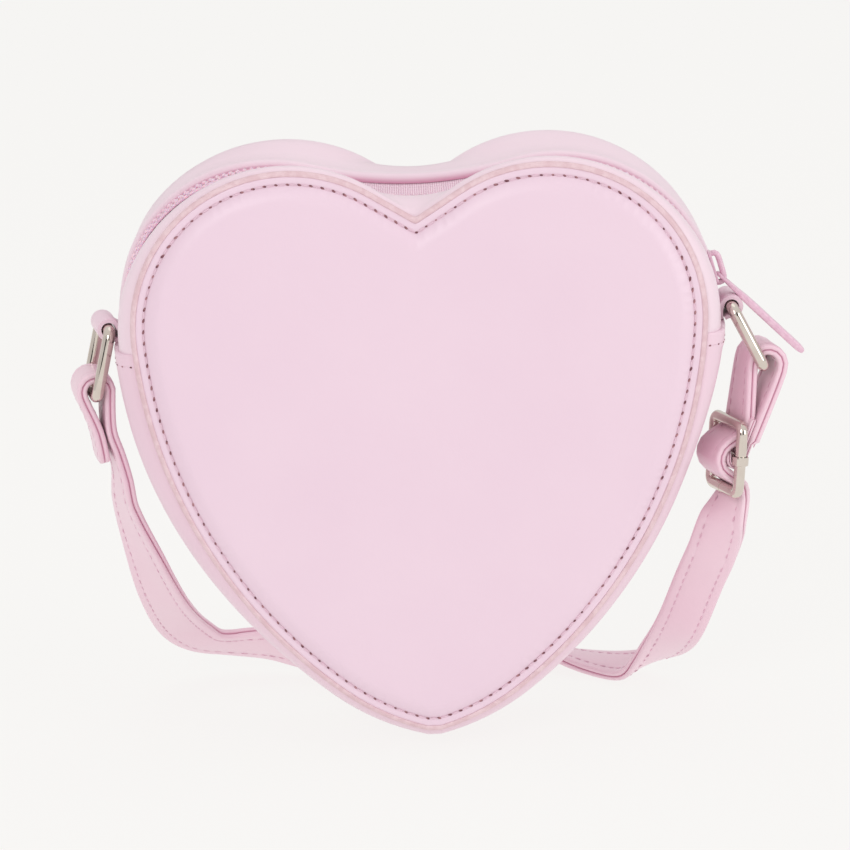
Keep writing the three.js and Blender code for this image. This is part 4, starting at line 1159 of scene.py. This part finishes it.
def strap(name, first, last, replaces, step=2.4, tail=False, tip=False, shape=lambda place: (-1, 1)):
    """Strap of two plies from one place of the route to another, with its four rows of stitches.

    The shape gives the part of the thickness that is there, from -1 on one face to 1 on the other.
    """
    places = strap_places(first, last, step)
    if tail:
        places = sorted(places + [first + n for n in NEAR_END])
    if tip:
        places = sorted(places + [last - n for n in NEAR_END])
    frames = [strap_frame(p) for p in places]
    marks = running([f[0] * MM for f in frames])
    sections = []
    for (at, _, across, face), mark, place in zip(frames, marks, places):
        thin, slim = rounded_end(min(mark if tail else 9, marks[-1] - mark if tip else 9))
        low, high = shape(place)
        middle, half = (low + high) / 2 * PLY, (high - low) / 2 * thin
        sections.append([(at + across * a * slim + face * (middle + d * half)) * MM for a, d in SECTION])
    bm = loft(sections, painted_shade=PAINTED_CREASE_SHADE)
    beads(bm, strap_stitches(places, marks, frames, shape))
    return piece(name, bm, strap_leather, strap_thread, body=None, slot="strap_leather",
                 replaces=replaces, sharp=55)


def strap_stitches(places, marks, frames, shape):
    """Two rows on each face of a strap that is there."""
    steps = even_steps(marks, STRAP_STITCH, ROW_START, marks[-1] - ROW_START)
    stitched = [places[j] + (places[j + 1] - places[j]) * share for j, share in steps]
    rows = [centre_at(place) * MM for place in stitched]
    listed = []
    for at, onward, place in zip(rows, rows[1:], stitched):
        middle, way = (at + onward) / 2, (onward - at).normalized()
        _, _, across, face = min(frames, key=lambda f: (f[0] * MM - middle).length)
        for up in [u for u, edge in zip((-1, 1), shape(place)) if edge == u]:
            for aside in (-ROW_ASIDE, ROW_ASIDE):
                row = middle + (across * aside + face * up * ROW_HEIGHT) * MM
                listed.append((row, way, across, face, STRAP_BEAD, 1))
    return listed


def place_where(first, test):
    """The first place of the route from a given one on where the test on its point's height holds."""
    place = first
    while place < ROUTE_END and not test(centre_at(place).z):
        place += 0.02
    return place


def tail_end(first, last):
    """The strap's end, folded up inside the loop with a square cut."""
    sections = []
    for i in range(9):
        at, _, across, face = strap_frame(first + (last - first) * i / 8)
        cut = 0.75 if i == 0 else 1
        sections.append([(at + across * a * 0.97 + face * (2.95 + d * 0.55 * cut)) * MM for a, d in SECTION])
    bm = loft(sections, painted_shade=PAINTED_CREASE_SHADE)
    piece("strap_tail_end", bm, strap_leather, body="buckle", slot="strap_leather", sharp=55)


def straps():
    rolled = len(LEFT_END) + len(LEFT_FALL) - 1
    unrolled = RIGHT_START - len(RIGHT_RISE)
    weave = place_where(unrolled, lambda z: z > 52)
    behind = place_where(RIGHT_START, lambda z: z > 86.4)
    turning = place_where(behind, lambda z: z > 118)
    wrap = place_where(turning, lambda z: z < 98)
    single = place_where(wrap, lambda z: z < 92.5)

    piece_left = strap("strap_left", 0, rolled, ["strap_left_loop_face", "strap_left_loop_backing"],
                       tail=True)
    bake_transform(piece_left)
    middle = strap("strap_roll", rolled, unrolled, ["strap_long_face", "strap_long_backing"], step=3.6)
    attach(middle, "bag")
    rise = strap("strap_right", unrolled, weave, [])
    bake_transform(rise)
    low = strap("strap_to_buckle", weave, behind, [])
    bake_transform(low)
    loop = strap("strap_ring_loop", behind, wrap, ["strap_right_loop_face", "strap_right_loop_backing"])
    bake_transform(loop)
    end = strap("strap_bar_end", wrap, ROUTE_END, [], step=1.2, tip=True,
                shape=lambda place: (-1, 1) if place < single else (0.08, 1))
    tail_end(place_where(turning, lambda z: z < 99.5), place_where(wrap, lambda z: z < 91.5))
    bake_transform(end)


straps()


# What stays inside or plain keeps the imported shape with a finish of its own
def finish_nodes():
    for material, names in ((lining, ["front_lining", "back_lining"]),
                            (board, ["front_stiffener", "back_stiffener"]),
                            (pink_enamel, ["zip_stop_left", "zip_stop_right"])):
        for name in names:
            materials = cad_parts[name].data.materials
            materials.clear()
            materials.append(material)


finish_nodes()


# Studio
BACKGROUND = tone("#f7f6f4")


def floor_sheet():
    bm = bmesh.new()
    bmesh.ops.create_circle(bm, cap_ends=True, segments=64, radius=8)
    bmesh.ops.translate(bm, verts=bm.verts, vec=(0, 0, -0.0002))
    paint = Paint("floor_sheet", roughness=0.9, base_color=(0.115, 0.1135, 0.112, 1), specular_ior_level=0.0,
                  emission_color=BACKGROUND, emission_strength=0.888)
    made = piece("floor", bm, paint.owner, body=None)


def softbox(name, at, size, power):
    """A round lamp that faces the bag's middle."""
    data = bpy.data.lights.new(name, "AREA")
    data.shape, data.size, data.energy = "DISK", size, power
    made = added(name, data)
    made.location = at
    made.rotation_euler = (Vector((0, 0, 0.1)) - Vector(at)).to_track_quat("-Z", "Y").to_euler()


def studio():
    """White all round, brighter above, with two dark bands behind the camera that polished metal mirrors."""
    world = bpy.data.worlds.new("studio")
    bpy.context.scene.world = world
    paint = Paint("studio", owner=world)
    back = next(n for n in paint.tree.nodes if n.type == "BACKGROUND")
    where = paint.node("ShaderNodeTexCoord", out="Generated")
    height = paint.node("ShaderNodeSeparateXYZ", {0: where}, out=2)

    def facing(direction):
        inputs = {0: where, 1: direction}
        return paint.node("ShaderNodeVectorMath", inputs, out="Value", operation="DOT_PRODUCT")

    def band(value, rise, fall):
        return paint.ease(value, *rise) * (1 - paint.ease(value, *fall))

    right = band(facing((1, 0, 0)), (0.08, 0.14), (0.42, 0.5))
    left = band(facing((-1, 0, 0)), (0.45, 0.52), (0.72, 0.8))
    low = 1 - paint.ease(abs(height - 0.15), 0.3, 0.4)
    dark = (right + left) * paint.ease(facing((0, -1, 0)), 0.3, 0.5) * low
    light = paint.ease(height, -0.1, 0.9) * 0.13 + 0.715
    seen = paint.node("ShaderNodeLightPath", out="Is Camera Ray")
    lit = paint.mix(dark, paint.mix(light, (0, 0, 0, 1), (1, 0.99, 0.985, 1)), (0.02, 0.02, 0.02, 1))
    paint.join(paint.mix(seen, lit, BACKGROUND), back.inputs["Color"])
    softbox("key", (-0.6, -1.5, 0.9), 0.9, 7.3)
    softbox("fill", (1.5, -1.0, 0.5), 0.9, 6.2)
    softbox("top", (0.1, 0.2, 1.6), 1.0, 1.0)
    bpy.context.scene.view_settings.view_transform = "Standard"


floor_sheet()
studio()
